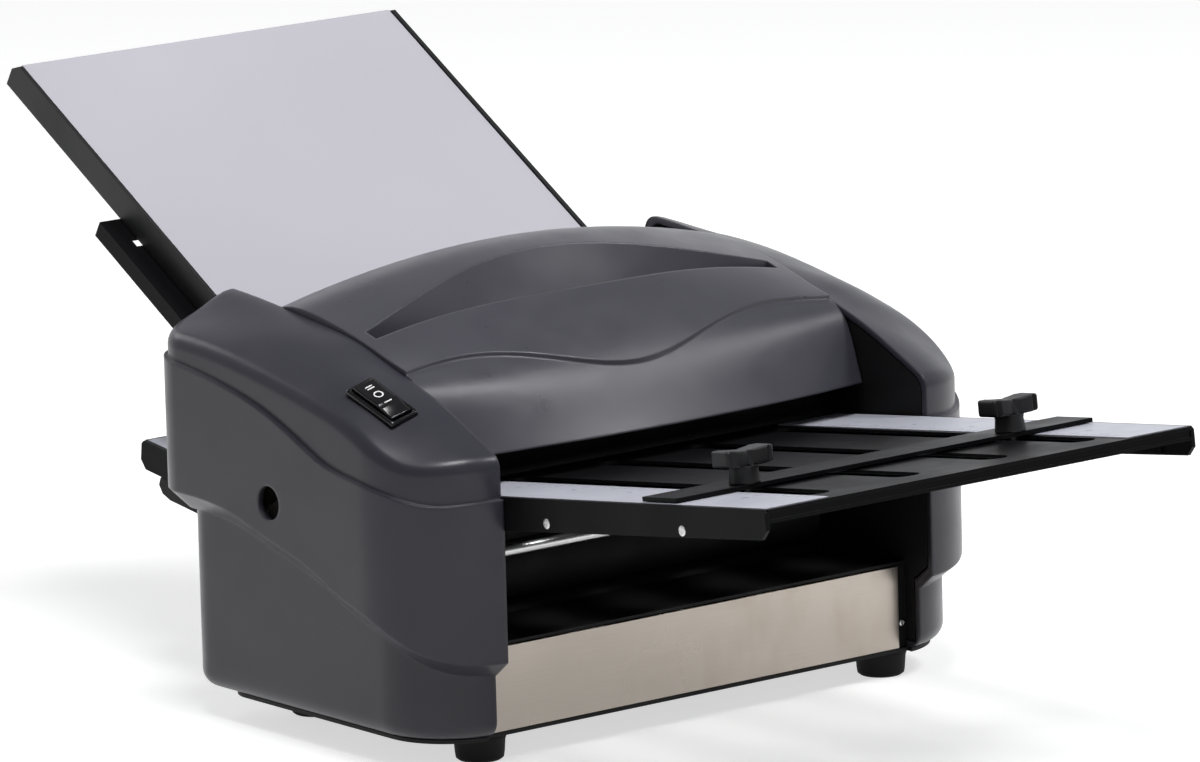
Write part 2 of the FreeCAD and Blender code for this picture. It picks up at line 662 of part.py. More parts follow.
frame_shape = side_frame()
piece("right_side_frame", feature("right_frame_form", frame_shape))
left_frame = frame_shape.mirror(Vector(), Vector(1, 0, 0))
drive_holes = [turned_cylinder(-frame_out - 1, spot, radius, size("frame_plate") + 2)
               for spot, radius in ((idler, 2.55), (reduction, 2.55), (motor, 9.0))]
piece("left_side_frame", feature("left_frame_form", left_frame.cut(drive_holes)))



def base_sheet():
    """The base plate: straight between the frames, and following the skirts' plan outside them."""
    inset, low = size("skirt_inset") + size("base_inset"), size("foot_height")
    inner = size("half_gap")
    wing = plan_prism(inner, size("cover_half_width") - inset, size("corner_depth") - inset, size("base_rear"),
                      size("skirt_rear_radius"), low, base_top)
    middle = Part.makeBox(2 * inner, size("base_rear") - size("base_front"), size("base_plate"),
                          Vector(-inner, size("base_front"), low))
    return middle.fuse([wing, wing.mirror(Vector(), Vector(1, 0, 0))]).removeSplitter()


piece("base_plate", feature("base_form", base_sheet()))

piece("front_panel", block("front_sheet", ("0 - panel_half", "base_front", "foot_height + base_plate"),
                           ("2 * panel_half", "panel_sheet", "panel_top - foot_height - base_plate")))

# rear panel with the opening for the mains inlet
rear_sheet = block("rear_sheet", ("0 - half_gap", "base_rear - panel_sheet", "foot_height + base_plate"),
                   ("2 * half_gap", "panel_sheet", "rear_panel_top - foot_height - base_plate"))


def inlet_block(name, grow, start, length):
    """A box about the inlet's axis, larger than the inlet's case by grow all round."""
    return block(name, (f"inlet_x - inlet_width / 2 - {grow}", start, f"inlet_z - inlet_height / 2 - {grow}"),
                 (f"inlet_width + 2 * {grow}", length, f"inlet_height + 2 * {grow}"))


piece("rear_panel", cut("rear_panel_sheet", rear_sheet, [inlet_block("inlet_hole", 0.3, "base_rear - 5", 10)]))

inlet_case = inlet_block("inlet_case", 0, "base_rear - 20", 20)
inlet_rim = inlet_block("inlet_rim", 3, "base_rear", 2)
inlet_cup = block("inlet_cup", ("inlet_x - inlet_width / 2 + 2", "base_rear - 15", "inlet_z - inlet_height / 2 + 2"),
                  ("inlet_width - 4", 20, "inlet_height - 4"))
inlet_shell = cut("inlet_shell", fuse("inlet_block", [inlet_case, inlet_rim]), [inlet_cup])
inlet_pins = [block(f"inlet_pin_{index}", (f"inlet_x + {x}", "base_rear - 15.5", f"inlet_z + {z}"), (2, 11.5, 4))
              for index, (x, z) in enumerate(((-7, -4.5), (-1, 0.5), (5, -4.5)))]
piece("mains_inlet", fuse("inlet_whole", [inlet_shell] + inlet_pins))

feet = []
for side in (-1, 1):
    for spot in ("foot_front", "foot_rear"):
        foot = doc.addObject("Part::Cone", f"foot_{spot}_{side}")
        bind(foot, "Radius1", "foot_radius - 1.5")
        bind(foot, "Radius2", "foot_radius")
        bind(foot, "Height", "foot_height")
        bind(foot, "Placement.Base.x", f"{side} * foot_spread")
        bind(foot, "Placement.Base.y", spot)
        feet.append(foot)
piece("rubber_feet", *feet)

piece("tie_rods", *[across(f"{word}_tie_rod", "0 - half_gap - frame_gap", (f"{word}_tie_y", f"{word}_tie_z"), "tie_radius",
                           "2 * (half_gap + frame_gap)") for word in ("front", "upper", "lower")])
upper_tie = (size("upper_tie_y"), size("upper_tie_z"))

# paper slide from the last nip out over the front panel
slide_start, slide_end, slide_low = roller_4[0] - size("roller_radius") - 1.5, size("base_front") + 1, size("panel_top") - 1.5
piece("exit_slide", extrusion("slide_sheet", [
    (-frame_in, slide_start, slide_low), (-frame_in, slide_end, slide_low + 1.8),
    (-frame_in, slide_end, slide_low + 3.3), (-frame_in, slide_start, slide_low + 1.5)], 2 * frame_in))

# ---------------------------------------------------------------- rollers and gears

bushes = []
for index, spot in enumerate((roller_1, roller_2, roller_3, roller_4, feed_axis)):
    for side, low in (("left", -frame_out), ("right", frame_in)):
        outer = across(f"bush_{side}_{index}", low, spot, "bush_radius", "frame_plate")
        bore = across(f"bush_bore_{side}_{index}", low - 1, spot, "shaft_radius + running_gap",
                      "frame_plate + 2")
        bushes.append(cut(f"bush_ring_{side}_{index}", outer, [bore]))
piece("shaft_bushes", *bushes)


def involute(angle):
    """The involute function of a pressure angle in radians."""
    return math.tan(angle) - angle


def wheel_points(teeth, phase):
    """Outline of a spur gear about the origin of the (y, z) plane, one tooth at the phase angle."""
    pitch_radius = module * teeth / 2
    pressure, backlash = math.radians(20), 0.12
    base = pitch_radius * math.cos(pressure)
    half = math.pi / (2 * teeth) - backlash / pitch_radius + involute(pressure)
    root, tip = pitch_radius - 1.25 * module, pitch_radius + 0.95 * module
    flank = []
    for radius in (root, pitch_radius, tip):
        local = math.acos(min(1.0, base / max(radius, base)))
        flank.append((radius, half - involute(local)))
    points = []
    for tooth in range(int(teeth)):
        middle = math.radians(phase) + 2 * math.pi * tooth / teeth
        for radius, spread in flank:
            points.append((radius * math.cos(middle - spread), radius * math.sin(middle - spread)))
        for radius, spread in reversed(flank):
            points.append((radius * math.cos(middle + spread), radius * math.sin(middle + spread)))
    return points


def meshed(phase, teeth, spot, other_teeth, other_spot):
    """The other wheel's phase that puts its teeth in the gaps of the first."""
    line = direction(spot, other_spot)
    return line + 180 + (180 - (phase - line) * teeth) / other_teeth


def wheel(name, teeth, spot, phase, x_low, face, bore):
    """A spur gear about an axis along X."""
    points = [(x_low, spot[0] + y, spot[1] + z) for y, z in wheel_points(teeth, phase)]
    blank = extrusion(name + "_teeth", points, face)
    return cut(name, blank, [across(name + "_bore", x_low - 1, spot, bore, "2 * gear_face + 20")])


plane_1 = -frame_out - size("gear_space") - size("gear_face")
plane_2 = plane_1 - size("gear_space") - size("gear_face")
plane_3 = plane_2 - size("gear_space") - size("gear_face")
teeth_r, teeth_i, teeth_f = size("teeth_roller"), size("teeth_idler"), size("teeth_feed")
teeth_w, teeth_p, teeth_m = size("teeth_wheel"), size("teeth_pinion"), size("teeth_motor")

phase_2 = 0.0
phase_1 = meshed(phase_2, teeth_r, roller_2, teeth_r, roller_1)
phase_3 = meshed(phase_2, teeth_r, roller_2, teeth_r, roller_3)
phase_4 = meshed(phase_3, teeth_r, roller_3, teeth_r, roller_4)
phase_i = meshed(phase_2, teeth_r, roller_2, teeth_i, idler)
phase_f = meshed(phase_i, teeth_i, idler, teeth_f, feed_axis)
phase_p = meshed(phase_i, teeth_i, idler, teeth_p, reduction)
phase_m = meshed(phase_p, teeth_w, reduction, teeth_m, motor)

ROLLERS = ((1, roller_1, phase_1, plane_1, "gear_face"), (2, roller_2, phase_2, plane_2, "2 * gear_face + gear_space"),
           (3, roller_3, phase_3, plane_1, "gear_face"), (4, roller_4, phase_4, plane_1, "gear_face"))
for number, spot, phase, gear_low, gear_face in ROLLERS:
    shaft = across(f"roller_{number}_shaft_bar", gear_low - 1.5, spot, "shaft_radius", frame_out + 3 - gear_low + 1.5)
    core = across(f"roller_{number}_core", "0 - roller_half", spot, "roller_radius - roller_rubber", "2 * roller_half")
    piece(f"fold_roller_{number}_shaft", fuse(f"roller_{number}_steel", [shaft, core]))
    rubber = across(f"roller_{number}_rubber", "0 - roller_half", spot, "roller_radius", "2 * roller_half")
    bore = across(f"roller_{number}_rubber_bore", "0 - roller_half - 1", spot,
                  "roller_radius - roller_rubber", "2 * roller_half + 2")
    piece(f"fold_roller_{number}_rubber", cut(f"roller_{number}_sleeve", rubber, [bore]))
    piece(f"fold_roller_{number}_gear", wheel(f"roller_{number}_wheel", teeth_r, spot, phase, gear_low,
                                              gear_face, "shaft_radius"))

feed_shaft = across("feed_shaft_bar", plane_2 - 1.5, feed_axis, "shaft_radius", frame_out + 3 - plane_2 + 1.5)
piece("feed_roller_shaft", feed_shaft)
rings = []
for index, middle in enumerate((-55.0, 0.0, 55.0)):
    ring = across(f"feed_ring_{index}", middle - 12, feed_axis, "feed_radius", 24)
    bore = across(f"feed_ring_bore_{index}", middle - 13, feed_axis, "shaft_radius", 26)
    rings.append(cut(f"feed_tyre_{index}", ring, [bore]))
piece("feed_roller_rings", *rings)
piece("feed_roller_gear", wheel("feed_wheel", teeth_f, feed_axis, phase_f, plane_2, "gear_face", "shaft_radius"))

# idler with a hexagonal socket that faces the hand-turn hole
idler_wheel = wheel("idler_wheel", teeth_i, idler, phase_i, plane_2, "gear_face", "tie_radius + running_gap")
hub = across("idler_hub", plane_2 - 12, idler, 4.4, 12)
hexagon = [(plane_2 - 13, *polar(idler, 3.0, 60 * corner)) for corner in range(6)]
socket = extrusion("idler_socket", hexagon, 11)
piece("idler_gear", fuse("idler_whole", [idler_wheel, cut("idler_hub_socket", hub, [socket])]))
idler_axle = across("idler_pin", plane_2 + 0.5, idler, "tie_radius", -frame_in - plane_2 - 0.5)

big = wheel("reduction_large", teeth_w, reduction, phase_p, plane_3, "gear_face", "tie_radius + running_gap")
small = wheel("reduction_small", teeth_p, reduction, phase_p, plane_3 + size("gear_face") - 0.01,
              "gear_face + gear_space + 0.01", "tie_radius + running_gap")
piece("reduction_gear", fuse("reduction_whole", [big, small]))
piece("gear_axles", idler_axle, across("reduction_pin", plane_3 - 2, reduction, "tie_radius", -frame_in - plane_3 + 2))

motor_case = across("motor_barrel", "0 - half_gap - frame_gap", motor, "motor_radius", "motor_length")
motor_bore = across("motor_bore", "0 - half_gap - frame_gap - 1", motor, "tie_radius + running_gap", "motor_length - 5")
motor_collar = cut("motor_collar_ring", across("motor_collar", "0 - half_gap - frame_gap - frame_plate", motor, 8.7, "frame_plate"),
                   [across("motor_collar_bore", -frame_out - 1, motor, "tie_radius + running_gap", 10)])
piece("motor", fuse("motor_whole", [cut("motor_body", motor_case, [motor_bore]), motor_collar]))
spindle_low = plane_3 - 1
spindle = across("motor_spindle", spindle_low, motor, "tie_radius", 0.8 * size("motor_length") - frame_in - spindle_low)
pinion = wheel("pinion_wheel", teeth_m, motor, phase_m, plane_3, "gear_face", "tie_radius - 0.5")
piece("motor_spindle_and_pinion", fuse("motor_spindle_whole", [spindle, pinion]))


# ---------------------------------------------------------------- feed tray, guides and stack

tray_deck = block("tray_deck", ("0 - tray_half", "tray_start", "0 - tray_drop - tray_sheet"),
                        ("2 * tray_half", "tray_end - tray_start", "tray_sheet"))
tray_sides = [block(f"tray_side_{name}", (low, "tray_start", "0 - tray_drop - tray_flange"),
                          ("tray_sheet", "tray_end - tray_start", "tray_flange - 0.5"))
              for name, low in (("left", "0 - tray_half"), ("right", "tray_half - tray_sheet"))]
guide_slots = [block(f"tray_slot_{side}_{spot}", (low, spot, "0 - tray_drop - tray_sheet - 1"),
                           (16, 6, "tray_sheet + 2"))
               for side, low in (("left", -113.0), ("right", 97.0)) for spot in (60, 160)]
tray = cut("tray_sheetwork", fuse("tray_form", [tray_deck] + tray_sides), guide_slots)
piece("feed_tray", tray, placement=tray_place)

half_sheet = size("sheet_width") / 2
guide_low = size("tray_start") - 20
guide_run = size("sheet_length") + size("guide_over") - guide_low
for side, name in ((-1, "left"), (1, "right")):
    wall_low = half_sheet + 0.35 if side > 0 else -half_sheet - 0.35 - size("tray_sheet")
    wall_foot, guide_end = size("rest_gap") - size("tray_drop"), guide_low + guide_run
    wall_top = wall_foot + size("guide_height")
    wall = extrusion(f"{name}_guide_wall", [(wall_low, *spot) for spot in (
        (guide_low, wall_foot), (guide_end, wall_foot), (guide_end, wall_top - 5), (guide_end - 5, wall_top),
        (guide_low, wall_top))], "tray_sheet")
    ledge_low = half_sheet - 20 if side > 0 else -half_sheet - 0.35
    ledge = block(f"{name}_guide_ledge", (ledge_low, guide_low + 22, "0 - tray_drop + 0.3"),
                        (20.35, guide_run - 22, "tray_sheet - 0.5"))
    pegs = [block(f"{name}_guide_peg_{spot}", ((99.0 if side > 0 else -103.0), spot + 0.4, "0 - tray_drop - tray_sheet - 2"),
                        (4, 5.2, "tray_sheet + 2.5")) for spot in (60, 160)]
    piece(f"{name}_paper_guide", fuse(f"{name}_guide_form", [wall, ledge] + pegs), placement=tray_place)

piece("paper_stack", block("stack_block", ("0 - sheet_width / 2", 0, "0 - stack_thick"),
                                 ("sheet_width", "sheet_length", "stack_thick - 0.1")), placement=tray_place)

# tray brackets, each held off its side frame by a boss
BRACKET_DROP = -size("tray_drop") - size("tray_flange") - size("rest_gap")
lower, upper = on_tray(size("tray_start") + 4, BRACKET_DROP), on_tray(70, BRACKET_DROP)
boss_spot = (lower[0] + 5.5, lower[1] - 2.2)
tray_brackets = []
for side, plate_low, ledge_low, boss_low in (("left", -size("table_half"), -size("table_half"), "0 - half_gap - frame_gap"),
                                             ("right", size("table_half") - 1.5, size("table_half") - 4.5, "table_half")):
    plate = extrusion(f"tray_bracket_plate_{side}", [(plate_low, *spot) for spot in (
        lower, upper, (upper[0] + 5, upper[1] - 8), (lower[0] + 5, lower[1] - 8))], 1.5)
    ledge = extrusion(f"tray_bracket_ledge_{side}", [(ledge_low, *spot) for spot in (
        lower, upper, (upper[0] + 1, upper[1] - 1.6), (lower[0] + 1, lower[1] - 1.6))], 4.5)
    boss = across(f"tray_bracket_boss_{side}", boss_low, boss_spot, 3.0, "half_gap + frame_gap - table_half")
    tray_brackets.append(fuse(f"tray_bracket_{side}", [plate, ledge, boss]))
piece("tray_brackets", *tray_brackets)

# sheet path from the stack to the first nip
gate_foot = on_tray(-1.2, -size("stack_thick") + 1.2)
gate_head = on_tray(-1.2, 6)
gate_outline = [gate_foot, gate_head, (upper_tie[0] - 3.5, upper_tie[1] + 5), (upper_tie[0] - 5.2, upper_tie[1] + 5),
                (gate_head[0] - 2.2, gate_head[1]), (gate_foot[0] - 2.2, gate_foot[1])]
gate_arm = extrusion("gate_sheet", [(-60, *spot) for spot in gate_outline], 120)
gate_collar = across("gate_collar", -60, upper_tie, "tie_radius + 2.5", 120)
piece("sheet_gate", cut("gate_form", fuse("gate_whole", [gate_arm, gate_collar]),
                        [across("gate_eye", -61, upper_tie, "tie_radius + 0.05", 122)]))
bed = extrusion("bed_sheet", [(-frame_in, 16.5, 109.5), (-frame_in, 57.5, 108.0), (-frame_in, 57.5, 109.5),
                              (-frame_in, 16.5, 111.0)], 2 * frame_in)
piece("feed_bed", bed)
piece("manual_feed_guide", fuse("manual_guide_form", [
    extrusion("manual_sheet", [(-116, 19.6, 158.5), (-116, 18.6, 131.0), (-116, 20.1, 131.0), (-116, 21.1, 158.5)], 232),
    extrusion("manual_foot", [(-frame_in, 18.93, 140.0), (-frame_in, 18.6, 131.0), (-frame_in, 20.1, 131.0),
                              (-frame_in, 20.43, 140.0)], 2 * frame_in)]))


# ---------------------------------------------------------------- fold tables

RAIL_SCREWS = (0.23, 0.61)
RAIL_SCREW_DROP = -10.7


def group_at(name, items, place):
    """Document objects under one placement."""
    group = doc.addObject("Part::Compound", name)
    group.Links = list(items)
    group.Placement = place
    return group


def fold_table(name, place, length):
    """The rails and plates of one fold table; returns its scales and screws."""
    rails, screws_ = [], []
    long_, under = size(length), -size("chute_gap") - 2 * size("table_plate")
    inner = size("table_half") - size("table_rail")
    for side in (-1, 1):
        low = inner if side > 0 else -size("table_half")
        points = [(low, 1.5, 0.2), (low, long_, 0.2), (low, long_, -size("rail_inner")),
                  (low, 4, -size("rail_outer")), (low, 0, 4 - size("rail_outer")), (low, 0, -1.3)]
        rail = extrusion(f"{name}_rail_{side}", points, "table_rail")
        bores = []
        for index, share in enumerate(RAIL_SCREWS):
            spot, tag = (share * long_, RAIL_SCREW_DROP), f"{name}_{side}_{index}"
            bores.append(across("rail_bore_" + tag, low - 1, spot, "screw_shank + 0.1", "table_rail + 2"))
            head = across("rail_head_" + tag, "table_half" if side > 0 else "0 - table_half - 0.4", spot, "screw_shank + 0.8", 0.4)
            shank = across("rail_shank_" + tag, inner - 2.5 if side > 0 else -size("table_half"), spot, "screw_shank",
                           "table_rail + 2.5")
            screws_.append(fuse("rail_screw_" + tag, [head, shank]))
        rails.append(cut(f"{name}_rail_form_{side}", rail, bores))
    piece(f"{name}_table_rails", *rails, placement=place)

    for level, top in (("top", 0.0), ("lower", under + size("table_plate"))):
        body = new_body(f"{name}_table_{level}_plate", place)
        base = sketch_on(body, "XY_Plane", f"{name}_{level}_outline", top)
        outline(base, [(-inner, 0), (inner, 0), (inner, long_), (-inner, long_)])
        pad(body, base, "table_plate", f"{name}_{level}_sheet", reversed_=True)
        if level == "lower":
            spacer = sketch_on(body, "XY_Plane", f"{name}_spacer_outline", top)
            outline(spacer, [(-inner, 0.5), (inner, 0.5), (inner, 3.5), (-inner, 3.5)])
            pad(body, spacer, "chute_gap", f"{name}_spacer")
            flanges = sketch_on(body, "XY_Plane", f"{name}_flange_outline", under)
            for edge in (-inner, inner - 1.5):
                outline(flanges, [(edge, 20), (edge + 1.5, 20), (edge + 1.5, long_ - 20), (edge, long_ - 20)])
            pad(body, flanges, "rail_outer - chute_gap - 2 * table_plate - 0.5", f"{name}_flanges", reversed_=True)
            bores = sketch_on(body, "YZ_Plane", f"{name}_flange_bores")
            for share in RAIL_SCREWS:
                circle(bores, (share * long_, RAIL_SCREW_DROP), "screw_shank + 0.1")
            pocket(body, bores, f"{name}_flange_holes")
        slots = sketch_on(body, "XY_Plane", f"{name}_{level}_slot", top)
        run = long_ - 2 * size("slot_margin")
        oblong(slots, (-1.5 * size("slot_pitch"), size("slot_margin") + run / 2), "slot_width", run)
        first = pocket(body, slots, f"{name}_{level}_cut")
        row = body.newObject("PartDesign::LinearPattern", f"{name}_{level}_row")
        row.Originals = [first]
        row.Direction = (slots, ["H_Axis"])
        bind(row, "Length", "3 * slot_pitch")
        row.Occurrences = 4
        body.Tip = row

    strips = [block(f"{name}_scale_{side}", (low, 2, 0), ("scale_width", size(length) - 8, "scale_thick"))
              for side, low in (("left", "0 - table_half + table_rail + 0.2"),
                                ("right", "table_half - table_rail - 0.2 - scale_width"))]
    return group_at(f"{name}_scales", strips, place), group_at(f"{name}_rail_screws", screws_, place)


def stop_bar(name, place, spot):
    """A stop bar with its fingers through the slots, its clamp nuts and its two knobs."""
    at, knob_x = size(spot), 1.5 * size("slot_pitch")
    knob_at = at - size("knob_offset")
    under = -size("chute_gap") - 2 * size("table_plate")
    lift, width = size("bar_lift"), size("bar_width")
    plate = block(f"{name}_bar_plate", ("0 - bar_half", at - width / 2, "bar_lift"),
                  ("2 * bar_half", "bar_width", "bar_thick"))
    finger_low = under + size("table_plate") + 0.5
    fingers = [block(f"{name}_finger_{index}", (f"{index - 1.5} * slot_pitch - 5", at + width / 2 - 2, finger_low),
                     (10, 2, lift + 0.5 - finger_low)) for index in range(4)]
    holes = [rod(f"{name}_bar_hole_{side}", "Z", (side * knob_x, knob_at, -5), "stud_radius + running_gap", 12)
             for side in (-1, 1)]
    nuts = []
    for side in (-1, 1):
        nut = block(f"{name}_nut_{side}", (side * knob_x - 9, knob_at - 8, under - 3.4), (18, 16, 3))
        hole = rod(f"{name}_nut_hole_{side}", "Z", (side * knob_x, knob_at, under - 5), "stud_radius + running_gap", 6)
        nuts.append(cut(f"{name}_nut_form_{side}", nut, [hole]))
    bar = cut(f"{name}_bar_form", fuse(f"{name}_bar_whole", [plate] + fingers), holes)
    piece(f"{name}_stop_bar", bar, *nuts, placement=place)
    stem_r, stem, stud = size("knob_stem_radius"), size("knob_stem"), size("stud_radius")
    low = under - lift - size("bar_thick") - 5.5
    span, depth = size("knob_span") / 2, size("knob_depth") / 2
    for side, word in ((-1, "left"), (1, "right")):
        base = Placement(place.multVec(Vector(side * knob_x, knob_at, lift + size("bar_thick") + 0.05)), place.Rotation)
        knob = new_body(f"{name}_stop_knob_{word}", base)
        turned(knob, f"{name}_{word}_stem", [(0, low), (stud, low), (stud, 0), (stem_r, 0), (stem_r - 0.8, stem),
                                             (0, stem)], plane="XZ_Plane", axis="V_Axis")
        grip = sketch_on(knob, "XY_Plane", f"{name}_{word}_grip", "knob_stem")
        outline(grip, [(-span, -depth + 4), (-span + 4, -depth), (span - 4, -depth), (span, -depth + 4),
                       (span, depth - 4), (span - 4, depth), (-span + 4, depth), (-span, depth - 4)])
        pad(knob, grip, "knob_head", f"{name}_{word}_head")


front_scales, front_screws = fold_table("front", front_place, "front_length")
stop_bar("front", front_place, "front_stop")
rear_scales, rear_screws = fold_table("rear", rear_place, "rear_length")
stop_bar("rear", rear_place, "rear_stop")
piece("table_scales", front_scales, rear_scales)
piece("table_screws", front_screws, rear_screws)


# ---------------------------------------------------------------- top cover

# Side view (y, z) of the top cover at the mid-plane and at its ends, rear to front.
TOP_MIDDLE = ((84, 188), (79, 199), (62, 205), (45, 202.5), (12, 190.5), (-8, 178), (-28, 163),
              (-42, 146), (-52, 133))
TOP_END = ((86, 174), (81, 184), (63, 189), (45, 187), (12, 179.5), (-8, 173.5), (-27, 166), (-36, 150),
           (-42, 133))
cover_half = size("half_gap") - size("top_gap")


def moved_in(spots, inset):
    """Side-view spots moved along their inward normals."""
    moved = []
    for index, (y, z) in enumerate(spots):
        before, after = spots[max(index - 1, 0)], spots[min(index + 1, len(spots) - 1)]
        run, rise = after[0] - before[0], after[1] - before[1]
        length = math.hypot(run, rise)
        moved.append((y - inset * rise / length, z + inset * run / length))
    return moved


def top_form(inset, ends, floor=FLOOR):
    """The solid under the top cover's skin, as a loft of side views, drawn in by an inset."""
    sections = []
    for station in (-1, -0.55, 0, 0.55, 1):
        x = station * ends
        share = (x / cover_half) ** 2
        spots = moved_in([(m[0] + share * (e[0] - m[0]), m[1] + share * (e[1] - m[1]))
                          for m, e in zip(TOP_MIDDLE, TOP_END)], inset)
        spots = [Vector(x, y, z) for y, z in spots]
        curve = Part.BSplineCurve()
        curve.interpolate(spots)
        low_front, low_rear = Vector(x, spots[-1].y, floor), Vector(x, spots[0].y, floor)
        sections.append(Part.Wire([curve.toShape(), Part.makeLine(spots[-1], low_front),
                                   Part.makeLine(low_front, low_rear),
                                   Part.makeLine(low_rear, spots[0])]))
    return Part.makeLoft(sections, True, False)


SLOT_FRONT, SLOT_REAR, SLOT_BOTTOM, SLOT_HALF = 12.0, 19.0, 160.0, size("half_gap") - 6.6


def plan_curve(formula, height, half):
    """A spline across the cover in a level plane, from a formula for y at x."""
    curve = Part.BSplineCurve()
    curve.interpolate([Vector(half * step / 8, formula(half * step / 8), height) for step in range(-8, 9)])
    return curve.toShape()


def recess_rear(x):
    """Rear edge of the hand-feed recess."""
    return 50.0 - 29.0 * (x / SLOT_HALF) ** 2


def recess_front(x):
    """Wavy front edge of the hand-feed recess."""
    return 7.0 + 3.0 * (1 - math.cos(2 * math.pi * x / 190.0))


def zone_edge(x):
    """Wavy line where the front zone of the top cover begins."""
    return -22.0 - 8.0 * math.cos(2 * math.pi * x / 185.0)


def closed(first, second):
    """A wire of two splines that run the same way, joined at their ends."""
    a, b = first.Vertexes[0].Point, first.Vertexes[-1].Point
    c, d = second.Vertexes[0].Point, second.Vertexes[-1].Point
    return Part.Wire([first, Part.makeLine(b, d), second, Part.makeLine(c, a)])


def recess(grow):
    """The hand-feed recess as a wedge from its wavy mouth down to the straight slot."""
    half, top = SLOT_HALF + grow, 212.0
    mouth = closed(plan_curve(lambda x: recess_front(x) - grow, top, half),
                   plan_curve(lambda x: recess_rear(x) + grow, top, half))
    slot = closed(plan_curve(lambda x: SLOT_FRONT - grow, SLOT_BOTTOM, half),
                  plan_curve(lambda x: SLOT_REAR + grow, SLOT_BOTTOM, half))
    return Part.makeLoft([slot, mouth], True, True)


def front_region():
    """Everything in front of the wavy zone edge."""
    line = plan_curve(zone_edge, 0, cover_half + 5)
    start, end = line.Vertexes[0].Point, line.Vertexes[-1].Point
    corner_a, corner_b = Vector(end.x, -90, 0), Vector(start.x, -90, 0)
    wire = Part.Wire([line, Part.makeLine(end, corner_a), Part.makeLine(corner_a, corner_b),
                      Part.makeLine(corner_b, start)])
    return Part.Face(wire).extrude(Vector(0, 0, 300))


def top_cover():
    """The top cover: a thin domed moulding with a hand-feed recess and a stepped front zone."""
    wall = size("top_wall")
    skin = top_form(0.0, cover_half)
    front = front_region()
    stepped = skin.cut(front).fuse(top_form(size("front_zone_step"), cover_half).common(front))
    hollow = top_form(wall + size("front_zone_step"), cover_half - wall, FLOOR - 10).cut(recess(wall))
    shell = stepped.cut(recess(0.0)).cut(hollow)
    lip, rear = size("top_lip"), 166.0
    trim = [(-70, FLOOR - 20), (-70, lip), (-34, lip), (84, rear), (100, rear), (100, FLOOR - 20)]
    side = [Vector(-200, y, z) for y, z in trim]
    below_ = Part.Face(Part.makePolygon(side + side[:1])).extrude(Vector(400, 0, 0))
    eye = turned_cylinder(-200, upper_tie, size("tie_radius") + 0.1, 400)
    shell = shell.cut([below_, eye])
    return shell


piece("top_cover", feature("top_cover_form", top_cover()))

# ---------------------------------------------------------------- supports and fasteners

def rail_depth(along, length):
    """Depth of a side rail at a distance from its table's outer end."""
    return size("rail_outer") + (size("rail_inner") - size("rail_outer")) * (along - 4) / (size(length) - 4)


supports = []
for side, low in (("left", "0 - half_gap - frame_gap"), ("right", "table_half - table_rail - 0.8")):
    for spot in (203.0, 240.0):
        under = -rail_depth(spot, "front_length") - size("rest_gap") - size("tie_radius")
        place = front_place.multVec(Vector(0, spot, under))
        supports.append(across(f"pin_{side}_{spot:.0f}", low, (place.y, place.z), "tie_radius",
                               "half_gap + frame_gap - table_half + table_rail + 0.8"))
BRACKET_SIDE = ((16, 0.3), (115, 0.3), (115, 9), (24, 9), (18, 7.5), (15, 4))
for side, low, stud_low in (("left", -frame_in + 0.6, -frame_in), ("right", frame_in - 3.0, frame_in - 3.0)):
    spots, studs = [], []
    for along, under_rail in BRACKET_SIDE:
        place = rear_place.multVec(Vector(0, along, -rail_depth(along, "rear_length") - under_rail))
        spots.append((low, place.y, place.z))
    for along in (74, 94):
        place = rear_place.multVec(Vector(0, along, -rail_depth(along, "rear_length") - 4.6))
        studs.append(across(f"rear_bracket_stud_{side}_{along}", stud_low, (place.y, place.z), 2.5, 3.0))
    supports.append(fuse(f"rear_bracket_{side}", [extrusion(f"rear_bracket_arm_{side}", spots, 2.4)] + studs))
piece("table_supports", *supports)

screws = []
for side in (-1, 1):
    for index, spot in enumerate(COVER_SCREWS):
        head_low = -frame_in if side < 0 else frame_in - size("screw_rise")
        shank_low = -frame_in - 11 if side < 0 else frame_in
        screws.append(fuse(f"cover_screw_{side}_{index}", [
            across(f"cover_screw_head_{side}_{index}", head_low, spot, "screw_head", "screw_rise"),
            across(f"cover_screw_shank_{side}_{index}", shank_low, spot, "screw_shank - 0.1", 11.0)]))
    start = (f"{side} * panel_screw_x", "base_front + panel_sheet - 1.2", "panel_screw_z")
    screws.append(fuse(f"panel_screw_{side}", [
        rod(f"panel_screw_head_{side}", "Y", start, "panel_screw", 1.2),
        rod(f"panel_screw_shank_{side}", "Y", start, "panel_screw / 2", 6.0)]))
piece("case_screws", *screws)


doc.recompute()
for obj in doc.Objects:
    if "Invalid" in obj.State or "Error" in obj.State:
        raise RuntimeError(f"{obj.Name} did not build: {obj.State}")
for obj in pieces:
    if obj.Shape.isNull() or not obj.Shape.isValid() or not obj.Shape.Solids:
        raise RuntimeError(f"{obj.Label} has no valid solid")

os.makedirs("parts", exist_ok=True)
for obj in pieces:
    obj.Shape.exportStep(f"parts/{obj.Label}.step")
print(len(pieces), "parts written")
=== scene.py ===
"""Looks for a desktop paper folding machine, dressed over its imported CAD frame.

Metres. +Z is up, +X is to the right seen from the front, and the front faces -Y.
"""

import json
import logging
import math
import random
from dataclasses import dataclass
from enum import Enum

import bmesh
import bpy
from mathutils import Matrix, Vector

